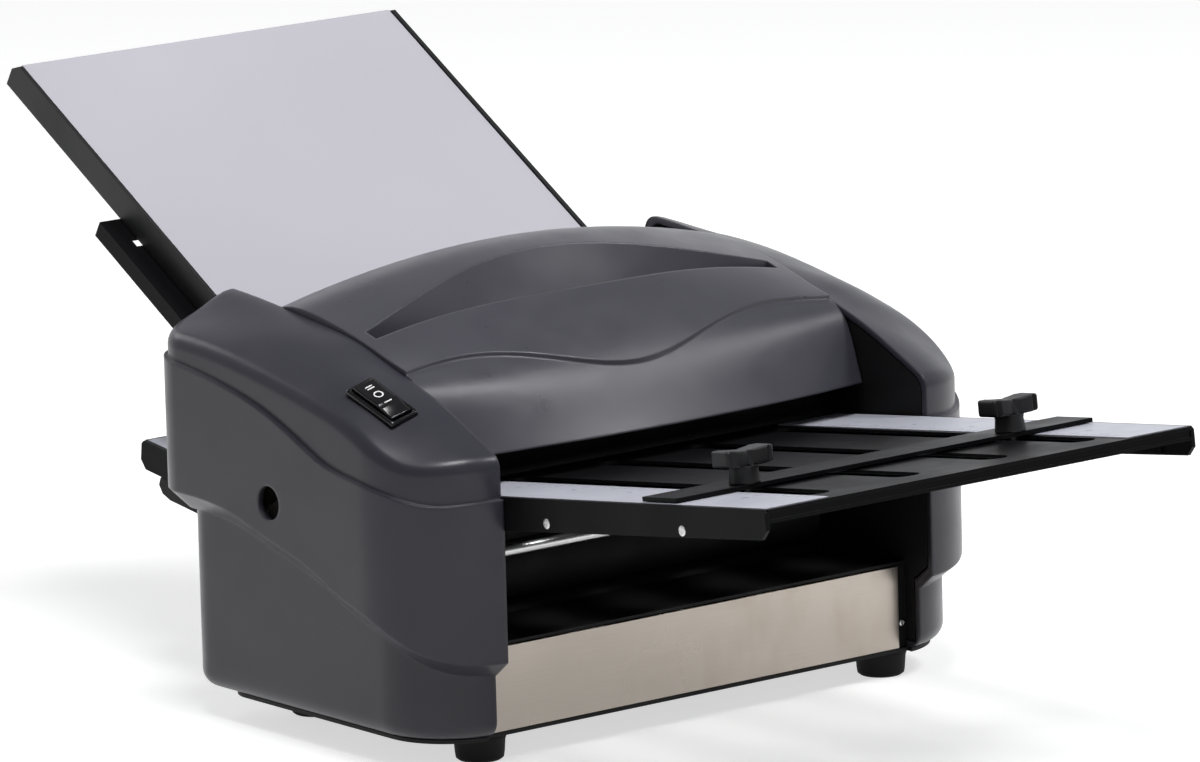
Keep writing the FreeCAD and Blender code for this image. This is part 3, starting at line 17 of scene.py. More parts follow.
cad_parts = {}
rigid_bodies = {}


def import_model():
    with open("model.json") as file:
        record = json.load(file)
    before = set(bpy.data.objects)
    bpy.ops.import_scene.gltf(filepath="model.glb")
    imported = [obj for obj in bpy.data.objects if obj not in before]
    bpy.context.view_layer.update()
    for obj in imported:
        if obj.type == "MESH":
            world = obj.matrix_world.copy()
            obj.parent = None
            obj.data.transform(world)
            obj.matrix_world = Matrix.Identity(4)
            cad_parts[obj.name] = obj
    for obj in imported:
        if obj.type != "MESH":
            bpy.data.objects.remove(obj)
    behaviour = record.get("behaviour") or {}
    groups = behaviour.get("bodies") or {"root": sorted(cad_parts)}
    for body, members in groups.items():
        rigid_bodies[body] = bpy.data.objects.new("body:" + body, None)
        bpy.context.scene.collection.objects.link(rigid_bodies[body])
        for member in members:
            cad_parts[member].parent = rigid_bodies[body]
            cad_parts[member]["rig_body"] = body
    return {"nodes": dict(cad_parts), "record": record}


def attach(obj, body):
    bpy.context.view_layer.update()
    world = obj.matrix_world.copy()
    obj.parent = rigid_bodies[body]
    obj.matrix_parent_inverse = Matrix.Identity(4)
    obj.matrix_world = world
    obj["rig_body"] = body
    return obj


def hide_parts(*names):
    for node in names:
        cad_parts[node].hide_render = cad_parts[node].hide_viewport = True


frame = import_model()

LOG = logging.getLogger("paper_folder")
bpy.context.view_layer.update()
MM = 0.001

Triple = tuple[float, float, float]
Colour = tuple[float, float, float]
Span = tuple[float, float]
Node = bpy.types.Node
Socket = bpy.types.NodeSocket
Form = bmesh.types.BMesh
Edges = list[bmesh.types.BMEdge]
Verts = list[bmesh.types.BMVert]
Piece = bpy.types.Object

JOINTS: dict[str, dict] = {
    joint["name"]: joint for joint in frame["record"]["behaviour"]["joints"]}


# ---------------------------------------------------------------- node tools

# The span that holds most of a noise's values.
NOISE_SPAN: Span = (0.3, 0.7)
# Cosine between the rounded normal and the true one, from an edge to a plain face.
EDGE_SPAN: Span = (0.86, 0.985)
BEVEL_SAMPLES = 8


def fill_ramp(ramp: Node, stops: list[tuple[float, Colour]]) -> None:
    """Sets a colour ramp's stops: positions from 0 to 1 and their colours."""
    elements = ramp.color_ramp.elements
    while len(elements) < len(stops):
        elements.new(0.5)
    for element, (position, colour) in zip(elements, stops):
        element.position = position
        element.color = (*colour, 1.0)


def fill_range(node: Node, source: Span, target: Span) -> None:
    """Sets a map range node: the span that it reads and the span that it gives."""
    for key, number in zip(("From Min", "From Max", "To Min", "To Max"), (*source, *target)):
        node.inputs[key].default_value = number


class NodeBoard:
    """A material's node tree with short calls for the nodes used here."""

    def __init__(self, name: str) -> None:
        """Makes a material with a shader and an output.

        Args:
            name: the material's name.
        """
        self.material = bpy.data.materials.new(name)
        self.material.use_nodes = True
        self.tree = self.material.node_tree
        self.shader = self.tree.nodes["Principled BSDF"]
        self.coordinates = self.add("ShaderNodeTexCoord").outputs["Object"]

    def add(self, kind: str, **settings: object) -> Node:
        """Adds a node.

        Args:
            kind: the node's type name.
            **settings: attributes to set on it.

        Returns:
            The node.
        """
        node = self.tree.nodes.new(kind)
        for key, value in settings.items():
            setattr(node, key, value)
        return node

    def wire(self, source: Socket, target: Socket) -> None:
        """Joins two sockets."""
        self.tree.links.new(source, target)

    def mapped(self, scale: Triple, turn: float) -> Socket:
        """Object coordinates turned about X, then stretched.

        Args:
            scale: stretch along each axis.
            turn: turn about X in degrees.

        Returns:
            The mapped vector socket.
        """
        vector = self.coordinates
        if turn:
            turned = self.add("ShaderNodeMapping")
            turned.inputs["Rotation"].default_value = (math.radians(turn), 0, 0)
            self.wire(vector, turned.inputs["Vector"])
            vector = turned.outputs["Vector"]
        node = self.add("ShaderNodeMapping")
        node.inputs["Scale"].default_value = scale
        self.wire(vector, node.inputs["Vector"])
        return node.outputs["Vector"]

    def noise(self, scale: float, detail: float, stretch: Triple = (1, 1, 1),
              turn: float = 0.0) -> Socket:
        """A noise value on object coordinates.

        Args:
            scale: features per metre.
            detail: octaves.
            stretch: extra scale along each axis.
            turn: turn of the pattern about X in degrees.

        Returns:
            The noise's value socket.
        """
        node = self.add("ShaderNodeTexNoise")
        node.inputs["Scale"].default_value = scale
        node.inputs["Detail"].default_value = detail
        self.wire(self.mapped(stretch, turn), node.inputs["Vector"])
        return node.outputs["Fac"]

    def ramp(self, value: Socket, stops: list[tuple[float, Colour]]) -> Socket:
        """A colour ramp on a value.

        Args:
            value: the value it reads.
            stops: positions from 0 to 1 and their colours.

        Returns:
            The ramp's colour socket.
        """
        node = self.add("ShaderNodeValToRGB")
        fill_ramp(node, stops)
        self.wire(value, node.inputs["Fac"])
        return node.outputs["Color"]

    def spread(self, value: Socket, target: Span, source: Span = NOISE_SPAN) -> Socket:
        """Maps a value from one span to another."""
        node = self.add("ShaderNodeMapRange")
        fill_range(node, source, target)
        self.wire(value, node.inputs["Value"])
        return node.outputs["Result"]

    def joined(self, operation: str, first: Socket, second: Socket) -> Socket:
        """Two values joined by a math operation."""
        node = self.add("ShaderNodeMath", operation=operation)
        self.wire(first, node.inputs[0])
        self.wire(second, node.inputs[1])
        return node.outputs["Value"]

    def blend(self, share: Socket, base: Socket, colour: Colour) -> Socket:
        """A colour socket mixed towards a colour.

        Args:
            share: how much of the colour shows.
            base: the colour under it.
            colour: the colour mixed in.

        Returns:
            The mixed colour socket.
        """
        node = self.add("ShaderNodeMix", data_type="RGBA")
        self.wire(share, node.inputs["Factor"])
        self.wire(base, node.inputs[6])
        node.inputs[7].default_value = (*colour, 1.0)
        return node.outputs[2]

    def rounded(self, radius: float) -> Socket:
        """A normal that rounds the edges."""
        node = self.add("ShaderNodeBevel", samples=BEVEL_SAMPLES)
        node.inputs["Radius"].default_value = radius
        return node.outputs["Normal"]

    def near_edges(self, normal: Socket) -> Socket:
        """1 on the edges that a rounded normal softens, 0 elsewhere."""
        node = self.add("ShaderNodeVectorMath", operation="DOT_PRODUCT")
        self.wire(normal, node.inputs[0])
        self.wire(self.add("ShaderNodeNewGeometry").outputs["Normal"], node.inputs[1])
        return self.spread(node.outputs["Value"], (1.0, 0.0), EDGE_SPAN)

    def bump(self, height: Socket, strength: float, distance: float, under: Socket) -> Socket:
        """A bump on a height, over another normal."""
        node = self.add("ShaderNodeBump")
        node.inputs["Strength"].default_value = strength
        node.inputs["Distance"].default_value = distance
        self.wire(height, node.inputs["Height"])
        self.wire(under, node.inputs["Normal"])
        return node.outputs["Normal"]


# ---------------------------------------------------------------- finishes

class Grain(Enum):
    """How a surface's fine relief is made."""

    MOULDED = "moulded"
    BRUSHED_X = "brushed along X"
    GROUND = "ground round its axis"
    SHEETS = "sheets in a stack"


STRETCH: dict[Grain, Triple] = {
    Grain.MOULDED: (1, 1, 1), Grain.BRUSHED_X: (0.012, 1, 1), Grain.GROUND: (1, 0.02, 0.02),
    Grain.SHEETS: (0.002, 0.002, 1)}

# Gloss varies at a finer scale than colour, by this factor.
GLOSS_SCALE = 2.2
# Noise scale per metre, and the noise's span that shows, for stains and for rubbed paint.
STAIN_SCALE, STAIN_SPAN, STAIN_STRETCH = 26.0, (0.52, 0.72), (1, 1, 0.6)
RUB_SCALE, RUB_SPAN = 120.0, (0.42, 0.62)
# A stain's colour as shares of the finish's own, and the gain and lift of rubbed paint.
STAIN_TINT: Colour = (0.62, 0.52, 0.42)
RUB_GAIN, RUB_LIFT = 2.5, 0.02
# Brightness at the bottom of the grain.
GRAIN_SHADE = 0.55


def shade(colour: Colour, factor: float) -> Colour:
    """A colour made lighter or darker."""
    return tuple(min(1.0, channel * factor) for channel in colour)


@dataclass(frozen=True)
class Finish:
    """A surface finish: colour, gloss, relief and wear at their real scale."""

    name: str
    slot: str
    colour: Colour
    roughness: float
    metallic: float = 0.0
    specular: float = 0.5
    variation: float = 0.06
    patch: float = 18.0
    grain: Grain = Grain.MOULDED
    grain_scale: float = 1400.0
    relief: float = 0.25
    depth: float = 0.00005
    grain_tint: float = 0.0
    turn: float = 0.0
    coat: float = 0.0
    coat_roughness: float = 0.12
    roughness_spread: float = 0.06
    edge: float = 0.0003
    wear: float = 0.0
    stain: float = 0.0

    def build(self) -> bpy.types.Material:
        """Makes the material.

        Returns:
            The node material.
        """
        board = NodeBoard(self.name)
        shader = board.shader
        shader.inputs["Metallic"].default_value = self.metallic
        shader.inputs["Specular IOR Level"].default_value = self.specular
        if self.coat:
            shader.inputs["Coat Weight"].default_value = self.coat
            shader.inputs["Coat Roughness"].default_value = self.coat_roughness
        colour = board.ramp(board.noise(self.patch, 3.0), [
            (stop, shade(self.colour, 1 + way * self.variation))
            for stop, way in zip(NOISE_SPAN, (-1, 1))])
        rough = board.spread(board.noise(self.patch * GLOSS_SCALE, 4.0), (
            self.roughness - self.roughness_spread, self.roughness + self.roughness_spread))
        normal = board.rounded(self.edge)
        if self.stain:
            cloud = board.spread(board.noise(STAIN_SCALE, 3.0, STAIN_STRETCH), (0.0, self.stain),
                                 STAIN_SPAN)
            colour = board.blend(cloud, colour, tuple(
                channel * tint for channel, tint in zip(self.colour, STAIN_TINT)))
        if self.wear:
            rubbed = board.spread(board.noise(RUB_SCALE, 4.0), (0.0, self.wear), RUB_SPAN)
            colour = board.blend(
                board.joined("MULTIPLY", board.near_edges(normal), rubbed), colour,
                tuple(channel * RUB_GAIN + RUB_LIFT for channel in self.colour))
        height = board.noise(self.grain_scale, 2.0, STRETCH[self.grain], self.turn)
        if self.grain_tint:
            colour = board.blend(board.spread(height, (self.grain_tint, 0.0)), colour,
                                 shade(self.colour, GRAIN_SHADE))
        normal = board.bump(height, self.relief, self.depth, normal)
        board.wire(colour, shader.inputs["Base Color"])
        board.wire(rough, shader.inputs["Roughness"])
        board.wire(normal, shader.inputs["Normal"])
        return board.material


COVER = Finish("cover_satin", "cover_grey", (0.034, 0.033, 0.044), 0.34, specular=0.24,
               coat=0.17, coat_roughness=0.26, grain_scale=1500, relief=0.18, edge=0.0022,
               variation=0.05)
TOP = Finish("top_satin", "top_grey", (0.050, 0.0485, 0.062), 0.33, specular=0.55,
             coat=0.12, coat_roughness=0.28, grain_scale=1500, relief=0.18, edge=0.0014,
             variation=0.05)
GLOSS_BLACK = Finish("switch_gloss", "switch_black", (0.004, 0.004, 0.005), 0.22, specular=0.45,
                     grain_scale=600, relief=0.08, coat=0.15)
POWDER = Finish("black_powder_coat", "table_black", (0.0045, 0.0045, 0.0052), 0.38,
                specular=0.07, grain_scale=2600, relief=0.4, depth=0.00004, wear=0.35)
FRAME_PAINT = Finish("frame_paint", "frame_black", (0.0045, 0.0045, 0.005), 0.6, specular=0.25,
                     grain_scale=1800, relief=0.3, wear=0.2)
KNOB = Finish("knob_plastic", "knob_black", (0.0085, 0.0085, 0.0095), 0.45, specular=0.4,
              grain_scale=1500, relief=0.4, edge=0.0004)
STAINLESS = Finish("brushed_stainless", "stainless", (0.43, 0.385, 0.34), 0.30, metallic=1.0,
                   variation=0.05, patch=9.0, grain=Grain.BRUSHED_X, grain_scale=2200,
                   relief=0.3, depth=0.00003, grain_tint=0.10, stain=0.35)
BRIGHT = Finish("bright_steel", "bright_steel", (0.60, 0.60, 0.60), 0.28, metallic=1.0,
                grain=Grain.GROUND, grain_scale=1800, depth=0.00002)
BRONZE = Finish("bush_bronze", "bush_brass", (0.50, 0.34, 0.16), 0.42, metallic=1.0,
                grain_scale=2500)
RUBBER = Finish("roller_rubber", "roller_rubber", (0.012, 0.012, 0.013), 0.75, specular=0.3,
                grain=Grain.GROUND, grain_scale=1600, relief=0.4)
FEED_RUBBER = Finish("feed_rubber", "feed_rubber", (0.30, 0.09, 0.05), 0.7, grain=Grain.GROUND,
                     relief=0.4)
FOOT_RUBBER = Finish("foot_rubber", "foot_rubber", (0.008, 0.008, 0.009), 0.8, specular=0.25,
                     grain_scale=1100, relief=0.4, edge=0.0008)
NYLON = Finish("gear_nylon", "gear_plastic", (0.62, 0.60, 0.53), 0.45, grain_scale=1300,
               relief=0.2, edge=0.0002)
MOTOR = Finish("motor_lacquer", "motor_steel", (0.05, 0.05, 0.055), 0.35, metallic=0.4,
               grain_scale=900, relief=0.15)
PAPER = Finish("sheet_paper", "paper_white", (0.50, 0.49, 0.54), 0.85, specular=0.2,
               variation=0.012, patch=6.0, grain=Grain.SHEETS, grain_scale=2600, relief=0.3,
               depth=0.00004, grain_tint=0.14, turn=-31.0, edge=0.0001)
STRIP = Finish("ruler_strip", "scale_pale", (0.42, 0.43, 0.49), 0.4, variation=0.04, patch=40.0,
               grain_scale=2200, relief=0.12, edge=0.0001)
PRINT = Finish("ruler_print", "scale_pale", (0.09, 0.10, 0.16), 0.5, variation=0.1,
               grain_scale=2200, relief=0.1, edge=0.0001)
MARK = Finish("switch_mark", "switch_black", (0.80, 0.80, 0.80), 0.5, variation=0.02,
              grain_scale=1500, relief=0.1, edge=0.0001)


class Palette:
    """The finishes as materials, each made once."""

    def __init__(self) -> None:
        """Starts with no material made."""
        self.made: dict[str, bpy.types.Material] = {}

    def of(self, finish: Finish) -> bpy.types.Material:
        """The material of a finish.

        Args:
            finish: the finish.

        Returns:
            Its material.
        """
        if finish.name not in self.made:
            self.made[finish.name] = finish.build()
        return self.made[finish.name]


def dress(obj: Piece, material: bpy.types.Material) -> None:
    """Gives an object one material."""
    if obj.data.materials:
        for index in range(len(obj.data.materials)):
            obj.data.materials[index] = material
    else:
        obj.data.materials.append(material)


def linked(name: str, data: bpy.types.ID) -> Piece:
    """A new object on some data, linked to the scene."""
    obj = bpy.data.objects.new(name, data)
    bpy.context.scene.collection.objects.link(obj)
    return obj


# ---------------------------------------------------------------- studio

@dataclass(frozen=True)
class Lamp:
    """A square area lamp: its place, side, power in watts and the point that it faces."""

    name: str
    spot: Triple
    side: float
    power: float
    target: Triple

    def build(self) -> None:
        """Makes the lamp."""
        data = bpy.data.lights.new(self.name, "AREA")
        data.shape, data.size, data.energy = "SQUARE", self.side, self.power
        spot = Vector(self.spot)
        facing = (spot - Vector(self.target)).to_track_quat("Z", "Y").to_matrix().to_4x4()
        linked(self.name, data).matrix_world = Matrix.Translation(spot) @ facing


LAMPS = (
    Lamp("overhead_lamp", (1.0, -1.0, 2.1), 0.6, 22.0, (0, -0.05, 0.15)),
    Lamp("top_lamp", (-0.34, -0.50, 2.1), 0.7, 30.0, (-0.1, -0.15, 0.2)),
    Lamp("rear_lamp", (-0.5, 2.2, 1.7), 1.0, 9.0, (0, 0, 0.15)),
    Lamp("front_lamp", (-1.2, -3.2, 1.6), 1.2, 1.5, (0, 0, 0.1)),
)

# Height of a direction, from the horizon at 0 to the zenith at 1, and its brightness.
SKY_STOPS = ((0.0, 1.0), (0.02, 0.95), (0.16, 0.92), (0.45, 0.85), (0.64, 0.22), (1.0, 0.22))
SKY_TINT: Colour = (0.97, 0.98, 1.0)
# The bright side's direction, the cosines to it over which the sky rises, and its strengths.
SKY_SIDE: Triple = (0.62, 0.78, 0.0)
SKY_COSINES, SKY_STRENGTHS = (0.0, 0.6), (0.30, 1.0)


@dataclass
class Studio:
    """Camera, lamps, floor and world: angles in degrees, lens and sensor in millimetres."""

    azimuth: float = 38.1008
    elevation: float = 11.5051
    roll: float = -1.5341
    distance: float = 4.38877
    aim: Triple = (0.000955, -0.01698, 0.145984)
    lens: float = 290.065
    sensor: float = 36.0
    clip: Span = (0.1, 60.0)
    floor_half: float = 14.0
    floor_tone: float = 0.62
    floor_roughness: float = 0.9
    floor_specular: float = 0.1
    floor_glow: float = 0.62

    def camera(self) -> None:
        """Makes the camera at its viewpoint."""
        turn, rise, roll = (math.radians(v) for v in (self.azimuth, self.elevation, self.roll))
        back = Vector((-math.sin(turn) * math.cos(rise), -math.cos(turn) * math.cos(rise),
                       math.sin(rise)))
        right = (-back).cross(Vector((0, 0, 1))).normalized()
        up = right.cross(-back)
        side = right * math.cos(roll) + up * math.sin(roll)
        top = up * math.cos(roll) - right * math.sin(roll)
        data = bpy.data.cameras.new("camera")
        data.lens, data.sensor_width, data.sensor_fit = self.lens, self.sensor, "HORIZONTAL"
        data.clip_start, data.clip_end = self.clip
        camera = linked("camera", data)
        facing = Matrix((side, top, back)).transposed().to_4x4()
        camera.matrix_world = Matrix.Translation(Vector(self.aim) + back * self.distance) @ facing
        bpy.context.scene.camera = camera

    def floor(self) -> None:
        """A pale floor that catches the object's shadow and glows where it is seen."""
        form = bmesh.new()
        bmesh.ops.create_grid(form, x_segments=4, y_segments=4, size=self.floor_half)
        mesh = bpy.data.meshes.new("floor")
        form.to_mesh(mesh)
        form.free()
        floor = linked("floor", mesh)
        board = NodeBoard("floor_pale")
        inputs = board.shader.inputs
        inputs["Base Color"].default_value = (self.floor_tone, self.floor_tone, self.floor_tone, 1)
        inputs["Roughness"].default_value = self.floor_roughness
        inputs["Specular IOR Level"].default_value = self.floor_specular
        inputs["Emission Color"].default_value = (1, 1, 1, 1)
        rays = board.add("ShaderNodeLightPath").outputs
        seen = rays["Is Camera Ray"]
        for word in ("Is Glossy Ray", "Is Transmission Ray"):
            seen = board.joined("MAXIMUM", seen, rays[word])
        board.wire(board.spread(seen, (0.0, self.floor_glow), (0.0, 1.0)),
                   inputs["Emission Strength"])
        dress(floor, board.material)

    def world(self) -> None:
        """A sky that is pale low down and dark overhead, and brighter behind the object."""
        world = bpy.data.worlds.new("studio")
        world.use_nodes = True
        bpy.context.scene.world = world
        nodes, links = world.node_tree.nodes, world.node_tree.links
        nodes.clear()
        output, light = nodes.new("ShaderNodeOutputWorld"), nodes.new("ShaderNodeBackground")
        direction = nodes.new("ShaderNodeTexCoord").outputs["Generated"]
        split, ramp = nodes.new("ShaderNodeSeparateXYZ"), nodes.new("ShaderNodeValToRGB")
        fill_ramp(ramp, [(place, tuple(level * tint for tint in SKY_TINT))
                         for place, level in SKY_STOPS])
        links.new(direction, split.inputs["Vector"])
        links.new(split.outputs["Z"], ramp.inputs["Fac"])
        links.new(ramp.outputs["Color"], light.inputs["Color"])
        rear, strength = nodes.new("ShaderNodeVectorMath"), nodes.new("ShaderNodeMapRange")
        rear.operation, rear.inputs[1].default_value = "DOT_PRODUCT", SKY_SIDE
        fill_range(strength, SKY_COSINES, SKY_STRENGTHS)
        links.new(direction, rear.inputs[0])
        links.new(rear.outputs["Value"], strength.inputs["Value"])
        links.new(strength.outputs["Result"], light.inputs["Strength"])
        links.new(light.outputs["Background"], output.inputs["Surface"])

    def build(self) -> None:
        """Makes the whole studio."""
        self.camera()
        self.floor()
        self.world()
        for lamp in LAMPS:
            lamp.build()
        bpy.context.scene.view_settings.view_transform = "Standard"


# ---------------------------------------------------------------- mesh tools

def mark_sharp(form: Form, angle: float) -> None:
    """Shades a form smooth and keeps the edges over an angle, in degrees, sharp."""
    for face in form.faces:
        face.smooth = True
    for edge in form.edges:
        edge.smooth = (len(edge.link_faces) == 2
                       and edge.calc_face_angle(0.0) < math.radians(angle))


def settle(form: Form, name: str, body: str, finish: Finish, palette: Palette, *nodes: str,
           angle: float = 35.0) -> Piece:
    """Turns a form into a finished piece of the object.

    Args:
        form: the form, which is freed.
        name: the piece's name.
        body: the body that carries it.
        finish: its finish.
        palette: the materials.
        *nodes: the CAD nodes that it stands for.
        angle: edges sharper than this stay sharp, in degrees.

    Returns:
        The piece.
    """
    mark_sharp(form, angle)
    mesh = bpy.data.meshes.new(name)
    form.to_mesh(mesh)
    form.free()
    piece = linked(name, mesh)
    dress(piece, palette.of(finish))
    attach(piece, body)
    for node in nodes:
        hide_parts(node)
    return piece


def node_form(node: str, flat: bool = False) -> Form:
    """A merged copy of a CAD node's mesh.

    Args:
        node: the CAD node.
        flat: join the triangles of each plane.

    Returns:
        The form.
    """
    form = bmesh.new()
    form.from_mesh(frame["nodes"][node].data)
    bmesh.ops.remove_doubles(form, verts=form.verts, dist=1e-6)
    if flat:
        bmesh.ops.dissolve_limit(form, angle_limit=math.radians(0.5), verts=form.verts,
                                 edges=form.edges)
    return form


def body_of(node: str) -> str:
    """The body that carries a CAD node."""
    return frame["nodes"][node]["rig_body"]


def islands(node: str) -> list[list[Vector]]:
    """The corners of each loose part of a CAD node."""
    form = node_form(node)
    seen, found = set(), []
    for first in form.verts:
        if first in seen:
            continue
        seen.add(first)
        part, queue = [], [first]
        while queue:
            vert = queue.pop()
            part.append(vert.co.copy())
            for edge in vert.link_edges:
                other = edge.other_vert(vert)
                if other not in seen:
                    seen.add(other)
                    queue.append(other)
        found.append(part)
    form.free()
    return found


def box_of(corners: list[Vector]) -> tuple[Vector, Vector]:
    """The lowest and the highest corner of the box round some corners."""
    low, high = (Vector([pick(corner[axis] for corner in corners) for axis in range(3)])
                 for pick in (min, max))
    return low, high


def add_part(form: Form, part: Form, matrix: Matrix) -> None:
    """Moves a part into place and adds it to a form."""
    part.transform(matrix)
    mesh = bpy.data.meshes.new("part")
    part.to_mesh(mesh)
    part.free()
    form.from_mesh(mesh)
    bpy.data.meshes.remove(mesh)


def turned_form(form: Form, profile: list[Span], matrix: Matrix, steps: int = 40) -> None:
    """Adds a body turned about Z, closed at both ends of its profile.

    Args:
        form: the form to add to.
        profile: radius and height, from the bottom to the top, in millimetres.
        matrix: the place of the turned body.
        steps: flats round the axis.
    """
    part = bmesh.new()
    verts = [part.verts.new((radius * MM, 0, height * MM)) for radius, height in profile]
    edges = [part.edges.new(pair) for pair in zip(verts, verts[1:])]
    bmesh.ops.spin(part, geom=verts + edges, cent=(0, 0, 0), axis=(0, 0, 1), angle=math.tau,
                   steps=steps, use_merge=True)
    bmesh.ops.remove_doubles(part, verts=part.verts, dist=1e-7)
    bmesh.ops.recalc_face_normals(part, faces=part.faces)
    add_part(form, part, matrix)


def cube_form(size: Triple, middle: Triple) -> Form:
    """A block with its sides and its middle in millimetres.

    Args:
        size: the block's sides.
        middle: the block's middle.

    Returns:
        The form.
    """
    form = bmesh.new()
    place = Matrix.Translation([value * MM for value in middle])
    bmesh.ops.create_cube(form, size=1.0,
                          matrix=place @ Matrix.Diagonal((*(side * MM for side in size), 1)))
    return form


def slice_along(form: Form, axis: int, cuts: int) -> None:
    """Cuts the edges of a block that run along an axis into equal parts."""
    lines = [edge for edge in form.edges
             if abs(edge.verts[0].co[axis] - edge.verts[1].co[axis]) > 10 * MM]
    bmesh.ops.subdivide_edges(form, edges=lines, cuts=cuts, use_grid_fill=True)


def sharp_edges(form: Form, angle: float) -> Edges:
    """The edges over an angle, in degrees."""
    return [edge for edge in form.edges if edge.calc_face_angle(0.0) > math.radians(angle)]


def round_off(form: Form, geometry: Edges | Verts, width: float, segments: int,
              profile: float = 0.5, affect: str = "EDGES") -> None:
    """Bevels edges or corners by a width in millimetres."""
    bmesh.ops.bevel(form, geom=geometry, offset=width * MM, segments=segments, profile=profile,
                    affect=affect, material=-1)


def new_verts(made: list[object]) -> Verts:
    """The vertices among the things that an operator made."""
    return [item for item in made if isinstance(item, bmesh.types.BMVert)]


def block_form(form: Form, low: Triple, high: Triple, matrix: Matrix,
               bevel: float = 0.0) -> None:
    """Adds a block between two corners in millimetres, with its edges rounded if asked."""
    pairs = list(zip(low, high))
    part = cube_form(tuple(b - a for a, b in pairs), tuple((a + b) / 2 for a, b in pairs))
    if bevel:
        round_off(part, part.edges[:], bevel, 2)
    add_part(form, part, matrix)


@dataclass(frozen=True)
class Seat:
    """A place on the object: an origin, and the directions of its X and Z."""

    origin: Vector
    across: Vector
    up: Vector

    def matrix(self) -> Matrix:
        """The seat's matrix."""
        up = self.up.normalized()
        along = up.cross(self.across).normalized()
        turn = Matrix((along.cross(up), along, up)).transposed()
        return Matrix.Translation(self.origin) @ turn.to_4x4()


# ---------------------------------------------------------------- sub-assemblies

FOLD_ROLLERS = tuple(f"fold_roller_{number}" for number in range(1, 5))
STOP_KNOBS = tuple(f"{table}_stop_knob_{side}" for table in ("front", "rear")
                   for side in ("left", "right"))

NODE_FINISH: dict[Finish, tuple[str, ...]] = {
    COVER: ("right_side_cover", "left_side_cover"),
    TOP: ("top_cover",),
    GLOSS_BLACK: ("switch_bezel", "switch_rocker"),
    FRAME_PAINT: ("right_side_frame", "left_side_frame", "base_plate", "rear_panel",
                  "mains_inlet", "tray_brackets", "table_supports", "exit_slide"),
    POWDER: ("feed_tray", "front_table_rails", "front_table_top_plate",
             "front_table_lower_plate", "rear_table_rails", "rear_table_top_plate",
             "rear_table_lower_plate", "front_stop_bar", "rear_stop_bar"),
    KNOB: ("left_paper_guide", "right_paper_guide", *STOP_KNOBS),
    STAINLESS: ("front_panel",),
    BRIGHT: ("tie_rods", "gear_axles", "motor_spindle_and_pinion", "sheet_gate", "feed_bed",
             "manual_feed_guide", "table_screws", "case_screws", "feed_roller_shaft",
             *(roller + "_shaft" for roller in FOLD_ROLLERS)),
    BRONZE: ("shaft_bushes",),
    RUBBER: tuple(roller + "_rubber" for roller in FOLD_ROLLERS),
    FEED_RUBBER: ("feed_roller_rings",),
    FOOT_RUBBER: ("rubber_feet",),
    NYLON: ("idler_gear", "reduction_gear", "feed_roller_gear",
            *(roller + "_gear" for roller in FOLD_ROLLERS)),
    MOTOR: ("motor",),
    PAPER: ("paper_stack",),
    STRIP: ("table_scales",),
}


@dataclass
class MouldedCovers:
    """The two side covers and the top cover."""

    palette: Palette
    parts: tuple[tuple[str, Finish], ...] = (
        ("right_side_cover", COVER), ("left_side_cover", COVER), ("top_cover", TOP))

    def build(self) -> list[Piece]:
        """Smooths the mouldings and dresses them."""
        return [settle(node_form(node), node + "_moulding", body_of(node), finish,
                       self.palette, node) for node, finish in self.parts]


@dataclass
class SheetMetal:
    """Folded and cut sheet parts, with their edges broken."""

    palette: Palette
    edge_break: float = 0.25
    edge_angle: float = 40.0
    parts: tuple[tuple[str, Finish], ...] = (
        ("front_panel", STAINLESS), ("front_table_rails", POWDER), ("front_stop_bar", POWDER),
        ("rear_stop_bar", POWDER), ("rear_table_rails", POWDER), ("base_plate", FRAME_PAINT),
        ("left_paper_guide", KNOB), ("right_paper_guide", KNOB))

    def build(self) -> list[Piece]:
        """Copies the parts and breaks their edges."""
        made = []
        for node, finish in self.parts:
            piece = settle(node_form(node, flat=True), node + "_sheetwork", body_of(node),
                           finish, self.palette, node, angle=30.0)
            bevel = piece.modifiers.new("broken edges", "BEVEL")
            bevel.width, bevel.segments = self.edge_break * MM, 2
            bevel.limit_method, bevel.angle_limit = "ANGLE", math.radians(self.edge_angle)
            bevel.harden_normals = True
            made.append(piece)
        return made


